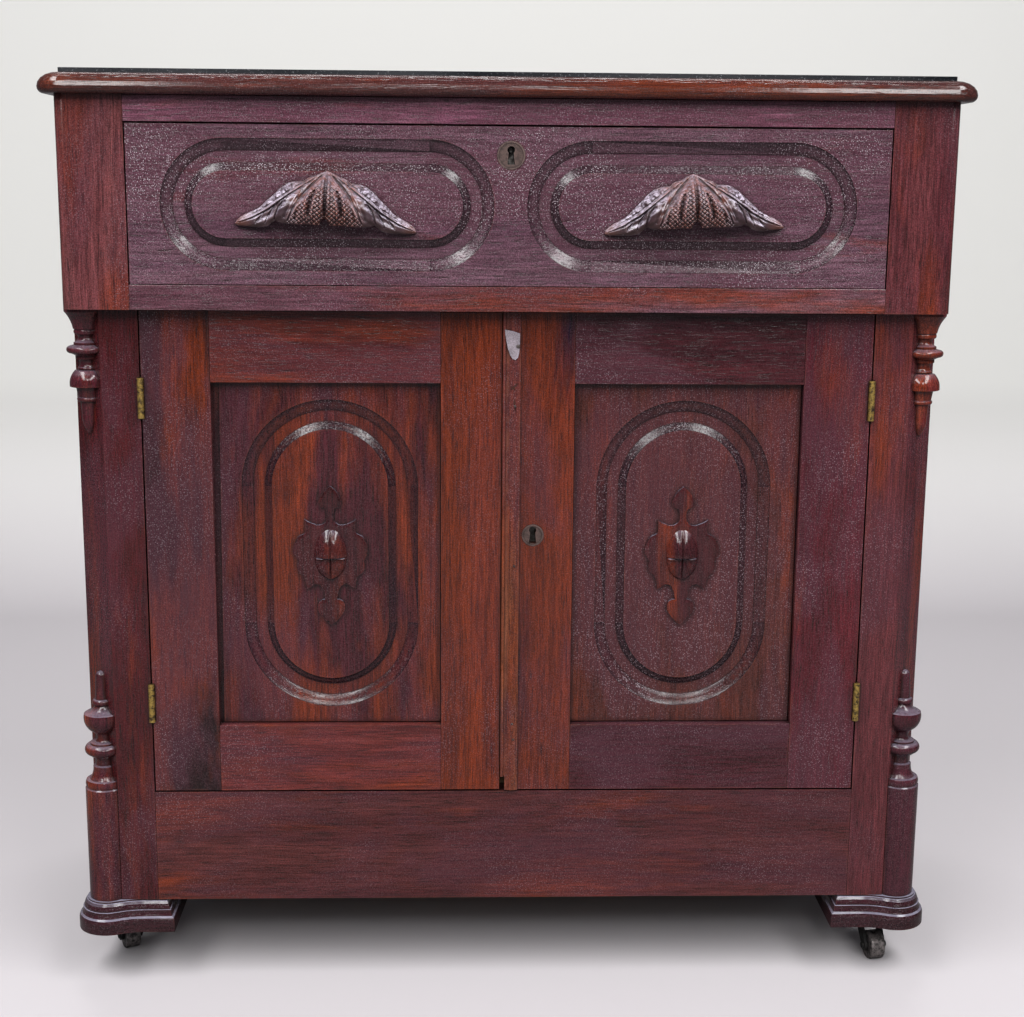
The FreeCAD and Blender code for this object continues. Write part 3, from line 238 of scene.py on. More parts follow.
def varnished(name, grain, dark, light, worn=0.2, bloom=0.2, beads=0.2, gloss=0.16, rubbing=0.22,
              sunk=0.0, settled=0.0, worn_tone=worn_orange):
    """Varnished wood with its grain along x, y or z.

    Worn is how much of it is rubbed to bare wood, sunk how dark its sunk mouldings are painted as shade,
    and the sheen share how much of a pale painted sheen, with a little bloom, lies on what looks up.
    """
    material, tree, shader = new_material(name)
    where = own_place(tree, (0.37, 0.91, 0.53))
    stretch = grain_along[grain]
    facing = place(tree, "SeparateXYZ", {0: place(tree, "TexCoord").outputs["Normal"]})
    slope = between(tree, maths(tree, "ABSOLUTE", facing.outputs[1]), 0.985, 0.86, 0.0, sunk)
    wear = place(tree, "Group", {"Place": where, "Stretch": stretch, "Width": 0.0022, "Rubbing": rubbing,
                                 "Worn face": worn}, node_tree=rubbed_edges)
    figure = place(tree, "Group", {"Place": where, "Stretch": stretch, "Dark": (*dark, 1.0),
                                   "Light": (*light, 1.0), "Bare": worn_tone, "Streaks": 0.5, "Pores": 0.75,
                                   "Worn": times(tree, wear.outputs["Face"], 0.8)},
                   node_tree=wood_figure)
    raised = maths(tree, "ADD", 0.4 * beads, times(tree, slope, 0.7))
    coat = place(tree, "Group", {"Place": where, "Stretch": stretch, "Beads": raised, "Bloom": bloom,
                                 "Gloss": gloss}, node_tree=old_varnish)
    # The film of varnish shows a little of the wood. The slopes of the sunk mouldings are painted nearly
    # black, as shade.
    film = mixed(tree, 0.3, film_mauve, figure.outputs["Colour"])
    colour = mixed(tree, coat.outputs["Film"], figure.outputs["Colour"], film)
    colour = mixed(tree, times(tree, slope, 0.94), colour, sunk_shade_black)
    dust = between(tree, noise(tree, where, 620.0, 3.0, 0.75), 0.46, 0.7, 0.0, 0.05 + 0.06 * beads)
    colour = mixed(tree, dust, colour, dust_grey)
    peel = 0.4 + 0.15 * beads
    dapple = between(tree, noise(tree, where, 900.0, 2.0, 0.6), 0.32, 0.68, 1.0 - peel, 1.0 + peel)
    colour = shaded(tree, colour, dapple)
    # Pale specks on the beads, thicker on the sunk slopes, are painted glints.
    specked = maths(tree, "ADD", 0.15 + 0.6 * beads, times(tree, slope, 0.4))
    colour = mixed(tree, times(tree, coat.outputs["Specks"], specked), colour, glint_pale)
    colour = mixed(tree, wear.outputs["Arris"], colour, arris_orange)
    # Corners shut in from the air are painted dark, as shade.
    colour = mixed(tree, wear.outputs["Corner"], colour, corner_shade)
    # A pale painted sheen, with a little bloom, is laid on what looks up.
    if settled:
        lit = between(tree, facing.outputs[2], 0.4, 0.85, 0.0, settled)
        drawn = vectors(tree, "MULTIPLY", where, stretch)
        brushed = between(tree, noise(tree, drawn, 420.0, 3.0, 0.7), 0.3, 0.62, 0.45, 1.0)
        colour = mixed(tree, times(tree, lit, brushed), colour, settled_pale)
    tree.links.new(colour, shader.inputs["Base Color"])
    tree.links.new(coat.outputs["Roughness"], shader.inputs["Roughness"])
    shader.inputs["Specular IOR Level"].default_value = 0.38
    grainy = place(tree, "Bump", {"Height": figure.outputs["Height"], "Strength": 0.5, "Distance": 0.0002})
    beaded = place(tree, "Bump", {"Height": coat.outputs["Height"], "Strength": 1.0, "Distance": 0.00034,
                                  "Normal": grainy.outputs["Normal"]})
    tree.links.new(beaded.outputs["Normal"], shader.inputs["Normal"])
    return material


def dress(node, material, eased=0.0):
    """Gives a CAD node its finish, and takes the sharpness off its arrises as sanding and use do."""
    board = boards[node]
    for slot in board.material_slots:
        slot.material = material
    if eased:
        weld = board.modifiers.new("join", "WELD")
        weld.merge_threshold = 1e-6
        bevel = board.modifiers.new("eased arris", "BEVEL")
        bevel.width = eased
        bevel.segments = 2
        bevel.limit_method = "ANGLE"
        bevel.angle_limit = math.radians(35)


def varnish(node, wood, grain, dark, light, eased=0.0006, **finish):
    """Gives a CAD node its own piece of varnished walnut."""
    dress(node, varnished(wood + " walnut", grain, dark, light, **finish), eased)


red_dark = (0.0278, 0.0016, 0.0026)
red_light = (0.0624, 0.0047, 0.0057)
varnish("corner_post_left", "left post", "z", red_dark, red_light, worn=0.3, bloom=0.7)
varnish("corner_post_right", "right post", "z", (0.0501, 0.0075, 0.0115), (0.1122, 0.0232, 0.0253),
        worn=0.35, bloom=0.6)

# Front rails. Three plain walnut rails tie the posts together: one over the drawer, one under it, and
# the deep base rail at the bottom. They are tenoned into the posts with their grain running across.

varnish("top_rail", "top rail", "x", (0.1355, 0.0393, 0.0735), (0.2539, 0.1079, 0.1473), bloom=0.8,
        beads=0.5, worn=0.1)
varnish("drawer_rail", "drawer rail", "x", (0.0872, 0.0313, 0.0458), (0.1742, 0.0862, 0.1047), bloom=0.6,
        beads=0.6, worn=0.4)
varnish("base_rail", "base rail", "x", (0.0412, 0.0063, 0.0079), (0.0883, 0.0197, 0.0172), bloom=0.6,
        beads=0.15, worn=0.25)

# Facing stiles beside the drawer. Each is a short thick walnut board glued to the front of its post,
# so that the drawer case stands forward of the doors. Its outer edge is rounded over.

varnish("upper_stile_left", "left facing", "z", (0.0953, 0.0217, 0.0271), (0.1786, 0.0532, 0.051), worn=0.45,
        bloom=0.5)
varnish("upper_stile_right", "right facing", "z", (0.0706, 0.0129, 0.0179), (0.1337, 0.0347, 0.0358),
        worn=0.4, bloom=0.5)

# Top. One wide walnut board with a thumb mould run round its front and ends, screwed down from inside.
# A thin black sheet with dust on it is laid over the board, short of the moulded edge.

varnish("top_board", "top board", "x", (0.032, 0.009, 0.009), (0.055, 0.014, 0.010), eased=0.0, worn=0.35,
        bloom=0.15, beads=0.1, gloss=0.06, worn_tone=(0.085, 0.014, 0.003, 1.0))


def black_sheet():
    material, tree, shader = new_material("dusty black sheet")
    where = place(tree, "TexCoord").outputs["Object"]
    specks = between(tree, noise(tree, where, 420.0, 2.0, 0.8), 0.6, 0.7)
    drift = between(tree, noise(tree, where, 6.0, 4.0), 0.35, 0.75, 0.0, 0.12)
    dust = maths(tree, "ADD", times(tree, specks, 0.6), drift)
    tone = mixed(tree, dust, (0.004, 0.005, 0.007, 1.0), (0.30, 0.30, 0.32, 1.0))
    shader.inputs["Specular IOR Level"].default_value = 0.12
    wire_up(tree, shader, tone, maths(tree, "ADD", 0.34, dust), noise(tree, where, 700.0, 2.0), 0.4, 0.0002)
    return material


dress("top_sheet", black_sheet())

# Sides and rear posts. Each side is a walnut frame with a thin sunk panel, and the rear posts are
# rebated for the back. They are varnished like the front but less handled.

for side in ("left", "right"):
    varnish("rear_post_" + side, side + " rear post", "z", red_dark, red_light, eased=0.0, bloom=0.3)
    varnish("side_rails_" + side, side + " side rail", "y", red_dark, red_light, eased=0.0, bloom=0.3)
    varnish("side_panel_" + side, side + " side panel", "z", (0.045, 0.004, 0.0045), (0.1, 0.012, 0.01),
            eased=0.0, worn=0.2, bloom=0.3, beads=0.3)

# Back, bottom and slideways. These hidden boards are cheap bare softwood, sawn and roughly planed.
# The back boards stand upright in the rebates and are nailed on.


def bare_softwood(name, grain, dark=(0.21, 0.10, 0.042), light=(0.44, 0.26, 0.13), stain=0.35):
    """Bare softwood that has gone brown with age, with stains and fine saw marks."""
    material, tree, shader = new_material(name)
    where = own_place(tree, (0.53, 0.29, 0.71))
    figure = place(tree, "Group", {"Place": where, "Stretch": grain_along[grain], "Dark": (*dark, 1.0),
                                   "Light": (*light, 1.0), "Streaks": 0.5, "Pores": 0.25},
                   node_tree=wood_figure)
    wear = place(tree, "Group", {"Place": where, "Stretch": grain_along[grain], "Width": 0.0015,
                                 "Rubbing": 0.3, "Worn face": stain}, node_tree=rubbed_edges)
    colour = mixed(tree, times(tree, wear.outputs["Face"], 0.45), figure.outputs["Colour"],
                   (0.13, 0.07, 0.035, 1.0))
    colour = mixed(tree, wear.outputs["Arris"], colour, (0.5, 0.36, 0.22, 1.0))
    # Corners shut in from the air are painted dark, as shade.
    colour = mixed(tree, times(tree, wear.outputs["Corner"], 0.8), colour, (0.03, 0.02, 0.014, 1.0))
    rough = between(tree, noise(tree, where, 60.0, 3.0), 0.3, 0.7, 0.62, 0.85)
    wire_up(tree, shader, colour, rough, figure.outputs["Height"], 0.7, 0.0004)
    return material


back_softwood = bare_softwood("back board softwood", "z", (0.17, 0.085, 0.04), (0.36, 0.205, 0.105), 0.6)
dress("back_boards", back_softwood)
dress("cupboard_bottom", bare_softwood("cupboard bottom softwood", "x"))
dress("drawer_slideways", bare_softwood("slideway softwood", "y", stain=0.6))

# Drawer. The front is a thick walnut board with two racetrack mouldings sunk into it, and its varnish
# has beaded all over. The sides are dovetailed into it, and sides, back and bottom are bare softwood.

varnish("drawer_front", "drawer front", "x", (0.0717, 0.0286, 0.0472), (0.1294, 0.0641, 0.0856), bloom=0.7,
        beads=1.1, worn=0.05, gloss=0.12, sunk=0.95)
for side in ("left", "right"):
    dress("drawer_side_" + side, bare_softwood(side + " drawer side softwood", "y"))
dress("drawer_back", bare_softwood("drawer back softwood", "x"))
dress("drawer_bottom", bare_softwood("drawer bottom softwood", "x", stain=0.5))

# Drawer pulls. Each is carved from one walnut block as a ribbed and scaled fruit between two leaves,
# hollow underneath for the fingers, and is glued and screwed to the drawer front from inside.

pull_half_width = 0.082
pull_tip_drop = 0.0045
pull_deepest = 0.0274
pull_lip_thickness = 0.0045
# Height of its top edge and of its foot, and how far it stands out, in millimetres, against the share
# of its half width.
pull_top = [(0.0, 51.0), (0.035, 50.0), (0.07, 48.6), (0.143, 45.6), (0.215, 44.0), (0.26, 40.6),
            (0.30, 40.6), (0.37, 40.0), (0.43, 38.6), (0.47, 36.2), (0.52, 33.2), (0.57, 28.8),
            (0.62, 25.0), (0.674, 21.0), (0.72, 17.0), (0.76, 14.4), (0.80, 12.6), (0.85, 10.4),
            (0.90, 8.6), (0.95, 6.0), (0.985, 3.2), (1.0, 1.0)]
pull_foot = [(0.0, 9.2), (0.025, 8.4), (0.06, 3.4), (0.10, 3.1), (0.17, 3.6), (0.25, 3.2), (0.37, 2.9),
             (0.46, 3.2), (0.50, 3.7), (0.545, 4.9), (0.58, 3.2), (0.62, 0.3), (0.67, -1.2),
             (0.74, -1.7), (0.82, -1.5), (0.90, -1.2), (0.96, -1.1), (1.0, -0.4)]
pull_stand = [(0.0, 27.4), (0.15, 26.8), (0.30, 25.2), (0.45, 21.6), (0.57, 17.6), (0.70, 13.6),
              (0.82, 10.2), (0.93, 7.0), (1.0, 3.6)]


def table_value(table, share):
    """Reads a table of (share, millimetres) at any share, in metres."""
    return float(np.interp(share, [row[0] for row in table], [row[1] for row in table])) / 1000


def stroke_depth(x, z, stroke, width, depth):
    """How deep a gouge stroke cuts at each place, tapering out at both its ends."""
    points = np.array(stroke, float) / 1000
    lengths = np.hypot(*(points[1:] - points[:-1]).T)
    total = lengths.sum()
    best = np.full(x.shape, 1e9)
    run = np.zeros(x.shape)
    done = 0.0
    for start, end, length in zip(points, points[1:], lengths):
        step_x, step_z = end - start
        along = np.clip(((x - start[0]) * step_x + (z - start[1]) * step_z) / length ** 2, 0, 1)
        away = np.hypot(x - start[0] - along * step_x, z - start[1] - along * step_z)
        nearer = away < best
        best = np.where(nearer, away, best)
        run = np.where(nearer, (done + along * length) / total, run)
        done += length
    taper = np.sqrt(np.clip(4 * run * (1 - run), 0, 1))
    reach = width / 1000 * (0.35 + 0.65 * taper)
    return depth / 1000 * (0.25 + 0.75 * taper) * np.exp(-(best / reach) ** 2)


# Gouge cuts of the right half of a pull, in millimetres from its middle and above its base. Each is its
# points, how wide it is and how deep. A negative depth leaves a ridge or a swelling standing.
pull_cuts = [
    ([(0.0, 50.0), (0.3, 34.0), (0.2, 20.0), (0.0, 9.0)], 1.2, 3.4),
    ([(2.6, 47.0), (3.4, 30.0), (3.0, 13.0)], 1.3, -1.2),
    ([(9.6, 34.0), (12.6, 26.0), (14.8, 16.0), (15.0, 9.5)], 1.5, 3.6),
    ([(12.4, 36.0), (16.4, 26.0), (18.8, 15.0), (18.2, 7.0)], 1.0, -1.5),
    ([(7.4, 32.0), (9.6, 25.0), (11.4, 15.0), (11.2, 7.0)], 1.0, -1.2),
    ([(2.0, 49.5), (11.0, 40.0), (21.0, 28.5), (28.6, 16.0), (33.4, 5.0)], 1.2, 2.6),
    ([(16.0, 32.0), (22.6, 21.0), (26.0, 11.0), (27.0, 5.0)], 1.8, 2.4),
    ([(5.0, 45.6), (17.0, 34.0), (29.0, 21.0), (37.0, 8.0)], 3.2, 2.6),
    ([(36.0, 22.5), (50.0, 11.0), (62.0, 3.5)], 3.0, 2.0),
    ([(3.0, 50.4), (18.0, 41.6), (34.0, 30.8), (50.0, 18.8), (66.0, 9.2), (80.0, 2.6)], 0.9, 1.7),
    ([(6.0, 47.6), (20.0, 37.4), (36.0, 26.0), (51.0, 14.2), (66.0, 5.8), (79.0, 1.2)], 0.9, 1.5),
    ([(4.5, 49.2), (19.0, 39.6), (35.0, 28.4), (50.5, 16.5), (66.0, 7.5), (79.0, 1.9)], 1.2, -1.8),
    ([(22.0, 35.0), (30.0, 20.0), (36.0, 8.0)], 0.8, -0.9),
    ([(37.0, 24.6), (43.0, 14.0), (46.0, 5.0)], 0.9, 1.8),
    ([(46.0, 17.8), (51.0, 9.0), (54.0, 2.0)], 0.9, 1.5),
    ([(55.0, 12.0), (60.0, 5.6), (63.0, 1.0)], 0.8, 1.1),
    ([(13.0, 44.2), (17.0, 43.0)], 2.6, -1.4),
    ([(23.0, 40.6), (29.0, 39.0)], 3.4, -2.6),
    ([(34.0, 35.6), (38.0, 33.0)], 3.2, -2.4),
    ([(43.0, 28.0), (46.0, 25.8)], 2.8, -2.0),
    ([(51.0, 21.0), (54.0, 18.8)], 2.6, -1.6),
    ([(60.0, 14.2), (63.0, 12.6)], 2.4, -1.2),
    ([(19.0, 43.6), (20.6, 40.0), (20.0, 37.6)], 1.0, 2.0),
    ([(31.0, 40.4), (32.0, 36.4), (30.6, 33.4)], 1.1, 2.4),
    ([(40.6, 34.0), (41.0, 30.0), (39.6, 27.0)], 1.1, 2.2),
    ([(48.6, 27.4), (49.0, 23.8), (47.8, 21.0)], 1.0, 1.8),
    ([(57.4, 19.4), (57.8, 16.8), (56.8, 14.6)], 0.9, 1.4),
    ([(26.0, 41.0), (27.4, 37.6)], 0.8, 1.2),
    ([(36.6, 36.6), (37.0, 33.6)], 0.8, 1.2),
]


fruit_half_width, fruit_height, fruit_scale_depth = 0.034, 0.051, 0.0016
scale_pitch, cross_pitch = 0.0040, 0.0042
leaf_wave, leaf_wave_pitch = 0.0002, 0.0105


def carving_depth(x, z):
    """How deep a pull is carved at x from its middle and z above its base."""
    cut = np.zeros(z.shape)
    for stroke, width, depth in pull_cuts:
        cut += 1.2 * stroke_depth(x, z, stroke, width, depth)
    # Scales of the fruit: slanting cuts both ways leave small lozenges between them.
    edge = fruit_half_width * np.clip((fruit_height - z) / 0.046, 0, 1) ** 0.85
    fruit = np.clip((edge - x) / 0.003, 0, 1) * np.clip((0.040 - z) / 0.005, 0, 1)
    one_way = np.abs(np.sin(np.pi * (z + 0.75 * x) / scale_pitch))
    other_way = np.abs(np.sin(np.pi * (z - 1.05 * x) / cross_pitch))
    cut += fruit * fruit_scale_depth * (1 - np.minimum(one_way, other_way)) ** 2.6
    # Shallow waves of the leaf beyond the fruit.
    leaf = 1 - np.clip((edge + 0.004 - x) / 0.004, 0, 1)
    return cut + leaf * leaf_wave * np.sin(2 * np.pi * (x * 0.6 + z * 1.6) / leaf_wave_pitch)


def mesh_piece(name, mesh, smooth=True):
    """Makes an object in the scene from a closed mesh, with its faces turned outwards."""
    bmesh.ops.recalc_face_normals(mesh, faces=mesh.faces)
    data = bpy.data.meshes.new(name)
    mesh.to_mesh(data)
    mesh.free()
    if smooth:
        data.shade_smooth()
    piece = bpy.data.objects.new(name, data)
    bpy.context.scene.collection.objects.link(piece)
    return piece


def carve_pull(side, middle_x, tilt):
    """Carves one pull as rings across its width, each from its top edge down the front and back under."""
    across, down, under = 380, 116, 6
    low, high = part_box("pull_" + side)
    face_y = high.y
    base_z = low.z + pull_tip_drop
    fall = np.linspace(0.0, 1.0, down + 1)
    swell = np.sin(np.pi / 2 * np.clip(fall / 0.66, 0, 1)) ** 0.85
    lip = 1.0 - 0.16 * np.clip((fall - 0.7) / 0.3, 0, 1) ** 2
    ease_in = np.clip(fall / 0.05, 0, 1)
    rings = []
    for share in np.linspace(-1.0, 1.0, across + 1):
        top = table_value(pull_top, abs(share))
        foot = table_value(pull_foot, abs(share))
        stand = table_value(pull_stand, abs(share))
        x = share * pull_half_width
        z = top + (foot - top) * fall
        cut = carving_depth(np.full(z.shape, abs(x)), z)
        stand_out = np.clip(stand * swell * lip - cut * ease_in, 0.0004, high.y - low.y)
        stand_out[0] = 0.0
        ring = [(x, face_y - stand_out[i], base_z + z[i]) for i in range(down + 1)]
        # The foot turns back under, and the fingers' hollow rises behind it to the drawer front.
        lip_out = stand_out[-1]
        back_out = max(lip_out - pull_lip_thickness, lip_out * 0.45)
        hollow = min(0.014, (top - foot) * 0.5) * stand / pull_deepest
        last_z = base_z + foot
        ring.append((x, face_y - (lip_out + back_out) / 2, last_z - 0.0006))
        ring.append((x, face_y - back_out, last_z))
        for step in range(1, under):
            part = step / under
            ring.append((x, face_y - back_out * (1 - part), last_z + hollow * math.sin(math.pi / 2 * part)))
        ring.append((x, face_y, last_z + hollow))
        rings.append(ring)
    turn = Matrix.Rotation(math.radians(tilt), 4, "Y")
    pivot = Vector((0, 0, base_z + 0.021))
    shift = pivot + Vector((middle_x, 0, 0))
    mesh = bmesh.new()
    made = [[mesh.verts.new(turn @ (Vector(spot) - pivot) + shift) for spot in ring] for ring in rings]
    size = len(rings[0])
    for near, far in zip(made, made[1:]):
        for i in range(size):
            j = (i + 1) % size
            mesh.faces.new((near[i], far[i], far[j], near[j]))
    mesh.faces.new(made[0])
    mesh.faces.new(list(reversed(made[-1])))
    return mesh_piece("carved_pull_" + side, mesh)


pull_centre = 0.1666  # The middle of either pull, from the middle of the cupboard.


def carved_finish(name):
    """Carved walnut: grey-mauve bloom, orange where hands rubbed it, painted shade in the cuts and under it,
    and a pale painted sheen on what looks up.
    """
    material, tree, shader = new_material(name)
    where = place(tree, "TexCoord").outputs["Object"]
    figure = place(tree, "Group", {"Place": where, "Stretch": grain_along["x"],
                                   "Dark": (0.02, 0.008, 0.009, 1), "Light": (0.06, 0.026, 0.028, 1),
                                   "Streaks": 0.5, "Pores": 0.4}, node_tree=wood_figure)
    coat = place(tree, "Group", {"Place": where, "Stretch": (1, 1, 1), "Beads": 0.3, "Bloom": 0.9,
                                 "Gloss": 0.26}, node_tree=old_varnish)
    wear = place(tree, "Group", {"Place": where, "Stretch": (1, 1, 1), "Width": 0.0026, "Rubbing": 0.75,
                                 "Worn face": 0.3}, node_tree=rubbed_edges)
    film = between(tree, coat.outputs["Film"], 0.0, 0.8, 0.3, 0.8)
    colour = mixed(tree, film, figure.outputs["Colour"], (0.04, 0.021, 0.028, 1))
    # The fruit, in the middle of each pull, is rubbed to orange.
    off_centre = maths(tree, "ABSOLUTE", place(tree, "SeparateXYZ", {0: where}).outputs[0])
    off_middle = maths(tree, "ABSOLUTE", maths(tree, "SUBTRACT", off_centre, pull_centre))
    fruit = times(tree, between(tree, off_middle, 0.036, 0.024), 0.75)
    rubbed = mixed(tree, between(tree, noise(tree, where, 160.0, 3.0), 0.4, 0.6), (0.17, 0.045, 0.022, 1),
                   (0.04, 0.015, 0.016, 1))
    colour = mixed(tree, fruit, colour, rubbed)
    colour = mixed(tree, wear.outputs["Arris"], colour, (0.28, 0.18, 0.19, 1))
    # A pale painted sheen, with some bloom, lies on the sides that look up, and painted shade under the ones
    # that look down.
    up = place(tree, "SeparateXYZ", {0: place(tree, "TexCoord").outputs["Normal"]}).outputs[2]
    settled = between(tree, up, 0.15, 0.6, 0.0, 1.0)
    brushed = vectors(tree, "MULTIPLY", where, (0.5, 1.0, 1.0))
    pale = between(tree, noise(tree, brushed, 340.0, 4.0, 0.75), 0.42, 0.6, 0.05, 1.0)
    pale = times(tree, times(tree, pale, settled), between(tree, fruit, 0.0, 0.75, 1.0, 0.35))
    colour = mixed(tree, pale, colour, (0.56, 0.49, 0.60, 1))
    colour = mixed(tree, between(tree, up, -0.1, -0.5, 0.0, 0.7), colour, (0.03, 0.010, 0.009, 1))
    # Pointiness finds the ridges, which get a paler rubbed tone, and the gouged cuts, which are painted dark
    # as shade.
    bend = place(tree, "NewGeometry").outputs["Pointiness"]
    ridge = mixed(tree, fruit, (0.46, 0.38, 0.44, 1), (0.42, 0.12, 0.07, 1))
    colour = mixed(tree, between(tree, bend, 0.53, 0.60, 0.0, 0.8), colour, ridge)
    colour = mixed(tree, between(tree, bend, 0.485, 0.43, 0.0, 0.95), colour, (0.010, 0.004, 0.006, 1))
    # Corners shut in from the air are painted dark, as shade.
    cut_shade = between(tree, wear.outputs["Corner"], 0.35, 1.0, 0.0, 0.95)
    colour = mixed(tree, cut_shade, colour, (0.010, 0.004, 0.005, 1))
    tips = between(tree, off_middle, 0.066, 0.080, 0.0, 0.6)
    colour = mixed(tree, tips, colour, (0.15, 0.05, 0.03, 1))
    wire_up(tree, shader, colour, coat.outputs["Roughness"], coat.outputs["Height"], 0.6, 0.0004)
    return material


pull_wood = carved_finish("carved pull walnut")
for side, tilt in (("left", 2.4), ("right", -2.4)):
    low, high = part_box("pull_" + side)
    pull = carve_pull(side, (low.x + high.x) / 2, tilt)
    pull.data.materials.append(pull_wood)
    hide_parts("pull_" + side)
    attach(pull, "drawer")

# Keyhole plates and locks. Small round plates with a raised rim are let into the wood over each
# keyhole. Behind them sit plain steel locks, let into the back of the drawer front and the door stile.


def worn_metal(name, dark, bright, rough, metal=1.0, scratch=0.5, patches=230.0):
    """Old metal: browned in the low places, rubbed bright on its edges, and finely scratched."""
    material, tree, shader = new_material(name)
    where = place(tree, "TexCoord").outputs["Object"]
    wear = place(tree, "Group", {"Place": where, "Stretch": (1, 1, 1), "Width": 0.0012, "Rubbing": 1.0,
                                 "Worn face": 0.5}, node_tree=rubbed_edges)
    blotch = between(tree, noise(tree, where, patches, 4.0, 0.65), 0.4, 0.6)
    colour = mixed(tree, blotch, (*dark, 1), (*bright, 1))
    colour = mixed(tree, times(tree, wear.outputs["Arris"], scratch), colour,
                   (*[min(1.0, value * 1.6) for value in bright], 1))
    colour = mixed(tree, wear.outputs["Corner"], colour, (*[value * 0.3 for value in dark], 1))
    tree.links.new(between(tree, blotch, 0.0, 1.0, metal * 0.6, metal), shader.inputs["Metallic"])
    rough_now = between(tree, blotch, 0.0, 1.0, rough + 0.2, rough)
    wire_up(tree, shader, colour, rough_now, noise(tree, where, 900.0, 3.0, 0.7), 0.35, 0.0002)
    return material


plate_metal = worn_metal("browned keyhole plate", (0.05, 0.03, 0.026), (0.13, 0.085, 0.075), 0.38, 0.6)
dress("drawer_keyhole_plate", plate_metal)
dress("door_keyhole_plate", plate_metal)
lock_steel = worn_metal("old lock steel", (0.10, 0.085, 0.075), (0.36, 0.34, 0.32), 0.42)
for lock in ("drawer_lock", "drawer_lock_bolt", "door_lock", "door_lock_bolt"):
    dress(lock, lock_steel)

# Doors. Each is a walnut frame of two stiles and two rails, tenoned and pegged, round a thick sunk
# panel held in grooves. The stiles by the joint are the most handled, and are rubbed to orange.

varnish("left_door_hinge_stile", "left door outer stile", "z", (0.0057, 0.0008, 0.001),
        (0.013, 0.0022, 0.002), worn=0.5, bloom=0.85, beads=0.3)
varnish("left_door_meeting_stile", "left door inner stile", "z", (0.0199, 0.0007, 0.0009),
        (0.0426, 0.0023, 0.0021), worn=0.9, bloom=0.25, beads=0.15)
varnish("left_door_rails", "left door rail", "x", (0.0631, 0.0075, 0.0075), (0.1436, 0.0251, 0.0206),
        worn=0.5, bloom=0.7, beads=0.2)
varnish("left_door_panel", "left door panel", "z", (0.0256, 0.0031, 0.0053), (0.0568, 0.0093, 0.0136),
        worn=0.55, bloom=0.75, beads=0.25, gloss=0.14, sunk=0.95)
varnish("right_door_hinge_stile", "right door outer stile", "z", (0.0387, 0.0026, 0.0057),
        (0.0859, 0.0077, 0.0123), worn=0.2, bloom=0.8, beads=0.45)
varnish("right_door_meeting_stile", "right door inner stile", "z", (0.0028, 0.0007, 0.0053),
        (0.0064, 0.0023, 0.0142), worn=0.7, bloom=0.6, beads=0.2)
varnish("right_door_rails", "right door rail", "x", (0.0257, 0.0027, 0.0059), (0.0556, 0.0089, 0.012),
        worn=0.15, bloom=0.8, beads=0.3)
varnish("right_door_panel", "right door panel", "z", (0.0447, 0.0082, 0.0056), (0.0934, 0.0218, 0.0141),
        worn=0.3, bloom=0.7, beads=0.45, gloss=0.14, sunk=0.95)

# Door ornaments. Each is sawn from thin walnut to a lobed outline with rounded edges, and has a split
# nut with a waist glued on its middle. The whole is glued to the panel and varnished over.

ornament_outline = [(0.0, 68.6, 1.4), (10.7, 55.1, 0.8), (9.4, 49.2, 0.6), (4.4, 47.0, 0.0),
                    (3.6, 44.0, -0.3), (3.2, 36.5, -0.9), (8.5, 30.8, -0.8), (16.5, 31.8, -0.6),
                    (24.6, 36.2, -0.5), (24.3, 23.2, -0.3),
                    (27.6, 21.0, 1.0), (33.4, 15.2, 0.9), (36.4, 3.0, -0.4), (31.8, -5.0, 0.4),
                    (32.4, -12.6, 0.8), (26.4, -19.2, -0.6), (23.4, -32.6, 0.3), (18.6, -29.8, -1.0),
                    (13.4, -28.0, -1.3), (8.4, -32.4, -0.6), (6.6, -38.0, -0.2), (5.6, -43.0, 0.4),
                    (9.5, -43.8, 1.0), (13.0, -48.8, 1.2), (10.0, -58.5, 0.6), (0.0, -68.6, 0.0)]


def bent_line(rows, steps=7):
    """Points along a run of lines, each bowed outwards by its third value in millimetres."""
    points = []
    for (x0, z0, bow), (x1, z1, _) in zip(rows, rows[1:]):
        length = math.hypot(x1 - x0, z1 - z0)
        out_x, out_z = -(z1 - z0) / length, (x1 - x0) / length
        count = steps if bow else 2
        for step in range(count):
            part = step / count
            swell = bow * 4 * part * (1 - part)
            points.append((x0 + (x1 - x0) * part + out_x * swell, z0 + (z1 - z0) * part + out_z * swell))
    points.append(rows[-1][:2])
    return points


def inside_outline(x, z, outline):
    """How far inside an outline each place lies, less than 0 outside it, and the outline's nearest point."""
    best = np.full(x.shape, 1e9)
    near_x, near_z = x.copy(), z.copy()
    inside = np.zeros(x.shape, bool)
    for (x0, z0), (x1, z1) in zip(outline, outline[1:] + outline[:1]):
        length = math.hypot(x1 - x0, z1 - z0)
        along = np.clip(((x - x0) * (x1 - x0) + (z - z0) * (z1 - z0)) / length ** 2, 0, 1)
        foot_x, foot_z = x0 + along * (x1 - x0), z0 + along * (z1 - z0)
        away = np.hypot(x - foot_x, z - foot_z)
        nearer = away < best
        best = np.where(nearer, away, best)
        near_x = np.where(nearer, foot_x, near_x)
        near_z = np.where(nearer, foot_z, near_z)
        if z0 != z1:
            inside ^= ((z0 > z) != (z1 > z)) & (x < x0 + (z - z0) * (x1 - x0) / (z1 - z0))
    return np.where(inside, best, -best), near_x, near_z


# Sizes in millimetres: the plate's rim and its rounding, then the nut above and under its waist.
rim_thickness, rim_rise, rim_round = 1.3, 2.1, 3.0
nut_base = 3.0
waist_z = -0.7
upper_length, upper_half_width, upper_rise = 27.6, 16.4, 12.6
lower_length, lower_half_width, lower_rise = 21.4, 15.2, 6.4


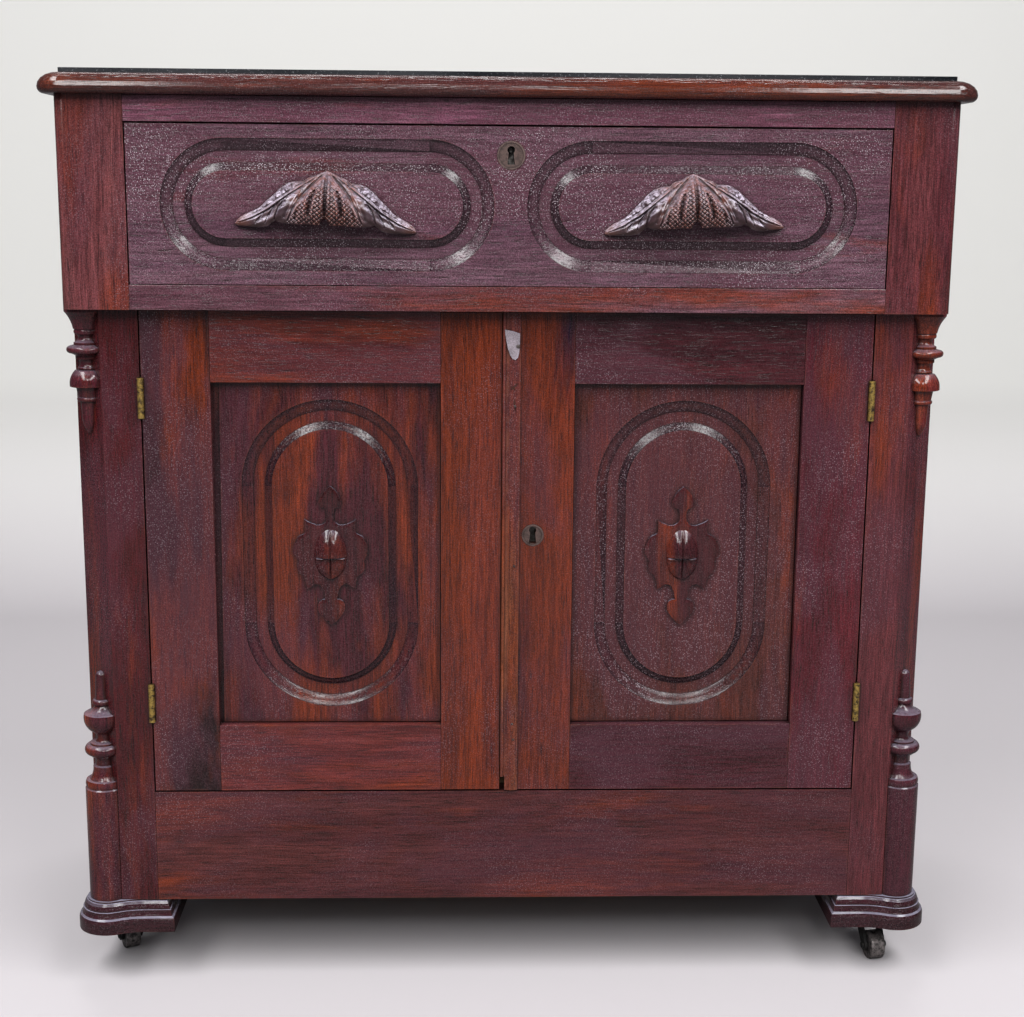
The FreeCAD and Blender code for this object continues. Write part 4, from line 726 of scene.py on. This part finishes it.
def nut_height(x, z):
    """The split nut in millimetres: two swelling halves over a waist, and a fluted end under it."""
    up = np.clip((z - waist_z) / upper_length, 0, 1)
    reach = (np.abs(x) / upper_half_width) ** 2 + up ** 2.1
    dome = upper_rise * np.clip(1 - reach, 0, 1) ** 0.95
    dome += 0.9 * np.exp(-((np.abs(x) - 5.6) / 3.6) ** 2) * np.clip(dome / 8, 0, 1)
    dome -= 1.8 * np.exp(-(x / 1.0) ** 2) * np.clip(dome / 8, 0, 1)
    down = np.clip((waist_z - z) / lower_length, 0, 1)
    wide = lower_half_width * np.sqrt(np.clip(1 - down ** 2.2, 1e-6, 1))
    end = lower_rise + 2.0 * np.sin(np.pi * np.clip(down / 0.8, 0, 1))
    end = end * np.sqrt(np.clip(1 - (x / wide) ** 2, 0, 1))
    fan = np.arctan2(np.abs(x), 3.0 - z)
    end -= 0.9 * np.abs(np.cos(fan * 7.5)) ** 8 * np.clip(end / 4, 0, 1)
    end -= 1.2 * np.exp(-(x / 0.8) ** 2) * np.clip(end / 4, 0, 1)
    end += 2.6 * np.exp(-((z + 2.2) / 1.2) ** 2) * np.clip(end / 4, 0, 1)
    return np.where(z >= waist_z, dome, end * (down < 1))


def make_ornament(side):
    """Raises the plate and its nut from a fine grid, cut off smoothly at the outline."""
    low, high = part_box(side + "_door_ornament")
    centre = Vector(((low.x + high.x) / 2, high.y, (low.z + high.z) / 2))
    deepest = (high.y - low.y) * 1000
    right = bent_line(ornament_outline)
    outline = right + [(-x, z) for x, z in reversed(right[1:-1])]
    pitch, half_width, half_height = 0.5, 37.5, 69.5
    x, z = np.meshgrid(np.arange(-half_width, half_width + pitch / 2, pitch),
                       np.arange(-half_height, half_height + pitch / 2, pitch))
    edge, near_x, near_z = inside_outline(x, z, outline)
    # Places close to the outline are moved onto it, so that its edge runs smoothly.
    moved = np.abs(edge) < pitch * 0.55
    x, z, edge = np.where(moved, near_x, x), np.where(moved, near_z, z), np.where(moved, 0.0, edge)
    rounded = np.sqrt(1 - (1 - np.clip(edge / rim_round, 0, 1)) ** 2)
    nut = nut_height(x, z) * (edge > 0) * (deepest - 3.1) / 12.9
    stand = np.minimum(np.maximum(rim_thickness + rim_rise * rounded, nut_base + nut), deepest)
    mesh = bmesh.new()
    verts = {}
    rows, columns = x.shape
    for i in range(rows):
        for j in range(columns):
            if edge[i, j] >= 0:
                spot = Vector((x[i, j], -stand[i, j], z[i, j])) / 1000
                verts[i, j] = mesh.verts.new(centre + spot)
    for i in range(rows - 1):
        for j in range(columns - 1):
            corners = [verts.get(key) for key in ((i, j), (i, j + 1), (i + 1, j + 1), (i + 1, j))]
            corners = [corner for corner in corners if corner]
            if len(corners) > 2:
                mesh.faces.new(corners)
    bmesh.ops.dissolve_degenerate(mesh, dist=2e-5, edges=mesh.edges)
    loose = [vert for vert in mesh.verts if not vert.link_faces]
    bmesh.ops.delete(mesh, geom=loose, context="VERTS")
    rim = [line for line in mesh.edges if len(line.link_faces) == 1]
    pulled = bmesh.ops.extrude_edge_only(mesh, edges=rim)["geom"]
    for vert in pulled:
        if isinstance(vert, bmesh.types.BMVert):
            vert.co.y = centre.y
    piece = mesh_piece("carved_ornament_" + side, mesh)
    piece.data.set_sharp_from_angle(angle=math.radians(55))
    return piece


for side, light in (("left", (0.058, 0.009, 0.008)), ("right", (0.056, 0.009, 0.009))):
    ornament = make_ornament(side)
    # Its finish lays a pale painted sheen on the edges and the nut top that look up.
    finish = varnished(side + " ornament walnut", "z", (0.024, 0.004, 0.005), light, worn=0.0, bloom=0.2,
                       beads=0.0, gloss=0.03, rubbing=0.0, settled=0.5)
    ornament.data.materials.append(finish)
    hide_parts(side + "_door_ornament")
    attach(ornament, side + "_door")

# Joint strip. A narrow moulded walnut strip is nailed to the right door's edge and hides the joint
# between the doors. A piece of tin is nailed over its split top end.

varnish("astragal", "joint strip", "z", (0.0929, 0.0197, 0.0076), (0.2254, 0.0688, 0.0227), eased=0.0,
        worn=0.7, bloom=0.7, beads=0.2, rubbing=0.5)
strip_low, strip_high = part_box("astragal")
tin_outline = [(1.6, -15.8), (9.0, -17.2), (15.9, -19.4), (15.8, -30.0), (15.3, -37.6), (14.2, -42.0),
               (11.8, -44.2), (9.0, -43.2), (6.8, -39.8), (4.6, -33.4), (2.8, -24.4)]


def flat_piece(name, outline, thickness):
    """A thin plate on the strip's face, cut to an outline in millimetres from the strip's top left."""
    mesh = bmesh.new()
    spots = [(strip_low.x + x / 1000, strip_high.z + z / 1000) for x, z in outline]
    back = [mesh.verts.new((x, strip_low.y, z)) for x, z in spots]
    front = [mesh.verts.new((x, strip_low.y - thickness, z)) for x, z in spots]
    mesh.faces.new(back)
    mesh.faces.new(list(reversed(front)))
    for i in range(len(outline)):
        j = (i + 1) % len(outline)
        mesh.faces.new((back[i], front[i], front[j], back[j]))
    return mesh_piece(name, mesh, smooth=False)


tin_thickness = 0.0005
tin = flat_piece("tin_patch", tin_outline, tin_thickness)
scuffed_tin = worn_metal("scuffed tin", (0.11, 0.088, 0.10), (0.27, 0.23, 0.26), 0.6, 0.3, 0.5, 900.0)
tin.data.materials.append(scuffed_tin)
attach(tin, "right_door")


def nail_head(name, x, y, z, radius):
    """A small domed nail head, driven until its rim sits on the wood or metal at y."""
    around = 14
    mesh = bmesh.new()
    rings = []
    for reach, rise in ((1.0, 0.0), (0.97, 0.22), (0.78, 0.4), (0.4, 0.5)):
        angles = [math.tau * i / around for i in range(around)]
        rings.append([mesh.verts.new((x + radius * reach * math.cos(angle), y - radius * rise,
                                      z + radius * reach * math.sin(angle))) for angle in angles])
    for low_ring, high_ring in zip(rings, rings[1:]):
        for i in range(around):
            j = (i + 1) % around
            mesh.faces.new((low_ring[i], low_ring[j], high_ring[j], high_ring[i]))
    mesh.faces.new(rings[-1])
    mesh.faces.new(list(reversed(rings[0])))
    nail = mesh_piece(name, mesh)
    nail.data.materials.append(nail_steel)
    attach(nail, "right_door")


nail_steel = worn_metal("rusty nail steel", (0.012, 0.007, 0.006), (0.10, 0.08, 0.075), 0.25, 0.8, 1.0)
nail_head("tin_nail", strip_low.x + 0.0143, strip_low.y - tin_thickness, strip_high.z - 0.0316, 0.0018)
for index, (x, drop) in enumerate(((0.0118, 0.088), (0.0122, 0.243), (0.0115, 0.402), (0.0126, 0.418))):
    nail_head("strip_nail_" + str(index + 1), strip_low.x + x, strip_low.y, strip_high.z - drop, 0.0011)

# The bruise and the crack are thin dark pieces: darkened wood, with painted shade for the hollow of each.
scar_grime_and_shade = varnished("bruised strip walnut", "z", (0.004, 0.002, 0.002), (0.012, 0.005, 0.004), worn=0.0)
scars = {"strip_bruise": [(7.4, -72.6), (8.4, -70.0), (11.0, -68.6), (14.0, -65.8), (13.6, -68.0),
                          (11.4, -70.2), (11.6, -73.0), (10.2, -71.8)],
         "strip_crack": [(10.8, -81.2), (12.2, -83.6), (11.6, -86.2), (13.0, -89.0), (12.2, -93.0),
                         (11.2, -89.4), (10.4, -85.8)]}
for name, outline in scars.items():
    scar = flat_piece(name, outline, 0.0001)
    scar.data.materials.append(scar_grime_and_shade)
    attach(scar, "right_door")

# Hinges. Plain brass butts, two to a door, let into post and stile. Only their knuckles show until the
# door stands open, and the brass has tarnished nearly black in patches.

hinge_brass = worn_metal("tarnished hinge brass", (0.022, 0.012, 0.006), (0.50, 0.33, 0.09), 0.36, 0.8, 0.4)
for hinge in ("hinge_leaves", "left_door_hinges", "right_door_hinges"):
    dress(hinge, hinge_brass)

# Turned ornaments. Drops hang under the drawer case, and finials stand on half columns at the bottom.
# Each was turned in walnut, sawn in half and glued to the chamfer of its post.

# Their finish lays a pale painted sheen on what looks up.
for side in ("left", "right"):
    varnish("pendant_" + side, side + " drop", "z", (0.052, 0.006, 0.011), (0.11, 0.016, 0.022), eased=0.0,
            worn=0.15, bloom=0.35, beads=0.2, gloss=0.04, settled=0.22)
varnish("columns_and_finials", "column", "z", (0.0262, 0.0030, 0.006), (0.060, 0.0095, 0.0145), eased=0.0,
        worn=0.22, bloom=0.5, beads=0.15, gloss=0.06, settled=0.28)

# Feet. Blocks of walnut with a stepped moulding, swelling round the columns, nailed under the posts.
# Their varnish is thick, nearly black and very glossy.

# Their finish lays a pale painted sheen on the mouldings that look up.
for node in ("front_foot_left", "front_foot_right", "rear_feet"):
    varnish(node, node.replace("_", " "), "x", (0.010, 0.002, 0.003), (0.030, 0.006, 0.009), eased=0.0,
            worn=0.05, bloom=0.2, beads=0.06, gloss=0.08, rubbing=0.1, settled=0.6)

# Casters. Each has an iron plate and pin driven up into its foot, a cast fork that swivels under it,
# and a small iron wheel on an axle riveted through the fork.

dark_iron = worn_metal("dark caster iron", (0.010, 0.009, 0.009), (0.035, 0.032, 0.031), 0.5, 0.5, 0.4)
wheel_iron = worn_metal("rubbed wheel iron", (0.03, 0.025, 0.024), (0.22, 0.19, 0.185), 0.40, 0.6, 0.6)
dress("caster_plates", dark_iron)
for corner in ("front_left", "front_right", "rear_left", "rear_right"):
    dress("caster_fork_" + corner, dark_iron)
    dress("caster_wheel_" + corner, wheel_iron)

# Studio. The cupboard stands on a plain pale floor that runs up into a plain pale wall, under soft
# overhead lamps, and is seen from straight in front.


def make_sweep():
    """Floor and wall in one sheet, joined by a quarter round. The wall doesn't show from behind."""
    near, far, bend, wall_top, half = -7.0, 1.55, 0.35, 3.6, 7.0
    section = [(near, 0.0), (far - bend, 0.0)]
    for step in range(1, 13):
        angle = math.pi / 2 * step / 12
        section.append((far - bend + bend * math.sin(angle), bend - bend * math.cos(angle)))
    section.append((far, wall_top))
    mesh = bmesh.new()
    rows = [[mesh.verts.new((x, y, z)) for x in (-half, half)] for y, z in section]
    for low_row, high_row in zip(rows, rows[1:]):
        mesh.faces.new((low_row[0], low_row[1], high_row[1], high_row[0]))
    data = bpy.data.meshes.new("studio_sweep")
    mesh.to_mesh(data)
    mesh.free()
    data.shade_smooth()
    sweep = bpy.data.objects.new("studio_sweep", data)
    bpy.context.scene.collection.objects.link(sweep)
    material, tree, shader = new_material("pale studio paint")
    where = place(tree, "TexCoord").outputs["Object"]
    height = place(tree, "SeparateXYZ", {0: where}).outputs["Z"]
    floor_tone, wall_tone = (0.43, 0.405, 0.42, 1), (0.725, 0.715, 0.69, 1)
    mirrored_tone = (0.135, 0.13, 0.135, 1)
    tone = mixed(tree, between(tree, height, 0.0, 0.4), floor_tone, wall_tone)
    # The varnish mirrors a darker room than the picture shows, or it would all turn pale.
    looked_at = place(tree, "LightPath").outputs["Is Camera Ray"]
    tree.links.new(mixed(tree, looked_at, mirrored_tone, tone), shader.inputs["Base Color"])
    shader.inputs["Roughness"].default_value = 0.6
    away = place(tree, "NewGeometry").outputs["Backfacing"]
    clear = place(tree, "BsdfTransparent").outputs[0]
    either = place(tree, "MixShader", {0: away, 1: shader.outputs[0], 2: clear}).outputs[0]
    tree.links.new(either, tree.nodes["Material Output"].inputs["Surface"])
    sweep.data.materials.append(material)
    return sweep


make_sweep()


def hang_lamp(name, spot, aim, size, power):
    """A soft oblong lamp at a spot, turned towards what it lights."""
    data = bpy.data.lights.new(name, "AREA")
    data.shape = "RECTANGLE"
    data.size, data.size_y = size
    data.energy = power
    lamp = bpy.data.objects.new(name, data)
    lamp.location = spot
    lamp.rotation_euler = (Vector(aim) - Vector(spot)).to_track_quat("-Z", "Y").to_euler()
    bpy.context.scene.collection.objects.link(lamp)


ceiling = 2.65
lamp_radiance = 14.5
for label, x, near, far, width in (("left", -1.45, -0.3, -4.4, 0.95), ("right", 1.45, -0.3, -4.4, 0.95),
                                   ("middle", 0.0, -3.5, -5.6, 0.8)):
    middle = (near + far) / 2
    length = near - far
    hang_lamp("lamp_bank_" + label, (x, middle, ceiling), (x, middle + 0.001, 0.0), (width, length),
              lamp_radiance * math.pi * width * length)
# A weaker bank hangs behind the cupboard, so that its back isn't left in the dark.
rear_width, rear_length, rear_radiance = 2.0, 0.5, 11.0
hang_lamp("lamp_bank_rear", (0.0, 1.32, 2.35), (0.0, 0.22, 0.45), (rear_width, rear_length),
          rear_radiance * math.pi * rear_width * rear_length)

world = bpy.data.worlds.new("studio air")
bpy.context.scene.world = world
world.use_nodes = True
air = world.node_tree
seen = place(air, "LightPath").outputs["Is Camera Ray"]
tone = mixed(air, seen, (0.14, 0.15, 0.165, 1.0), (0.76, 0.75, 0.73, 1.0))
air.links.new(tone, air.nodes["Background"].inputs["Color"])

# The camera stands 1.5 m in front of the drawer, a hand's breadth lower than the top, and looks down
# a little. Its three angles are in radians.
picture_width = 1024
focal_pixels = 1620
eye = Vector((-0.0473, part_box("drawer_front")[0].y - 1.502, 0.7816))
turn_right, look_down, lean = 0.0337, 0.1964, -0.0083
camera_data = bpy.data.cameras.new("photographer")
camera_data.sensor_width = 36
camera_data.lens = focal_pixels / picture_width * camera_data.sensor_width
camera = bpy.data.objects.new("photographer", camera_data)
aimed = (Matrix.Rotation(-turn_right, 4, "Z") @ Matrix.Rotation(-look_down, 4, "X")
         @ Matrix.Rotation(lean, 4, "Y") @ Matrix.Rotation(math.pi / 2, 4, "X"))
camera.matrix_world = Matrix.Translation(eye) @ aimed
bpy.context.scene.collection.objects.link(camera)
bpy.context.scene.camera = camera
bpy.context.scene.view_settings.view_transform = "Standard"
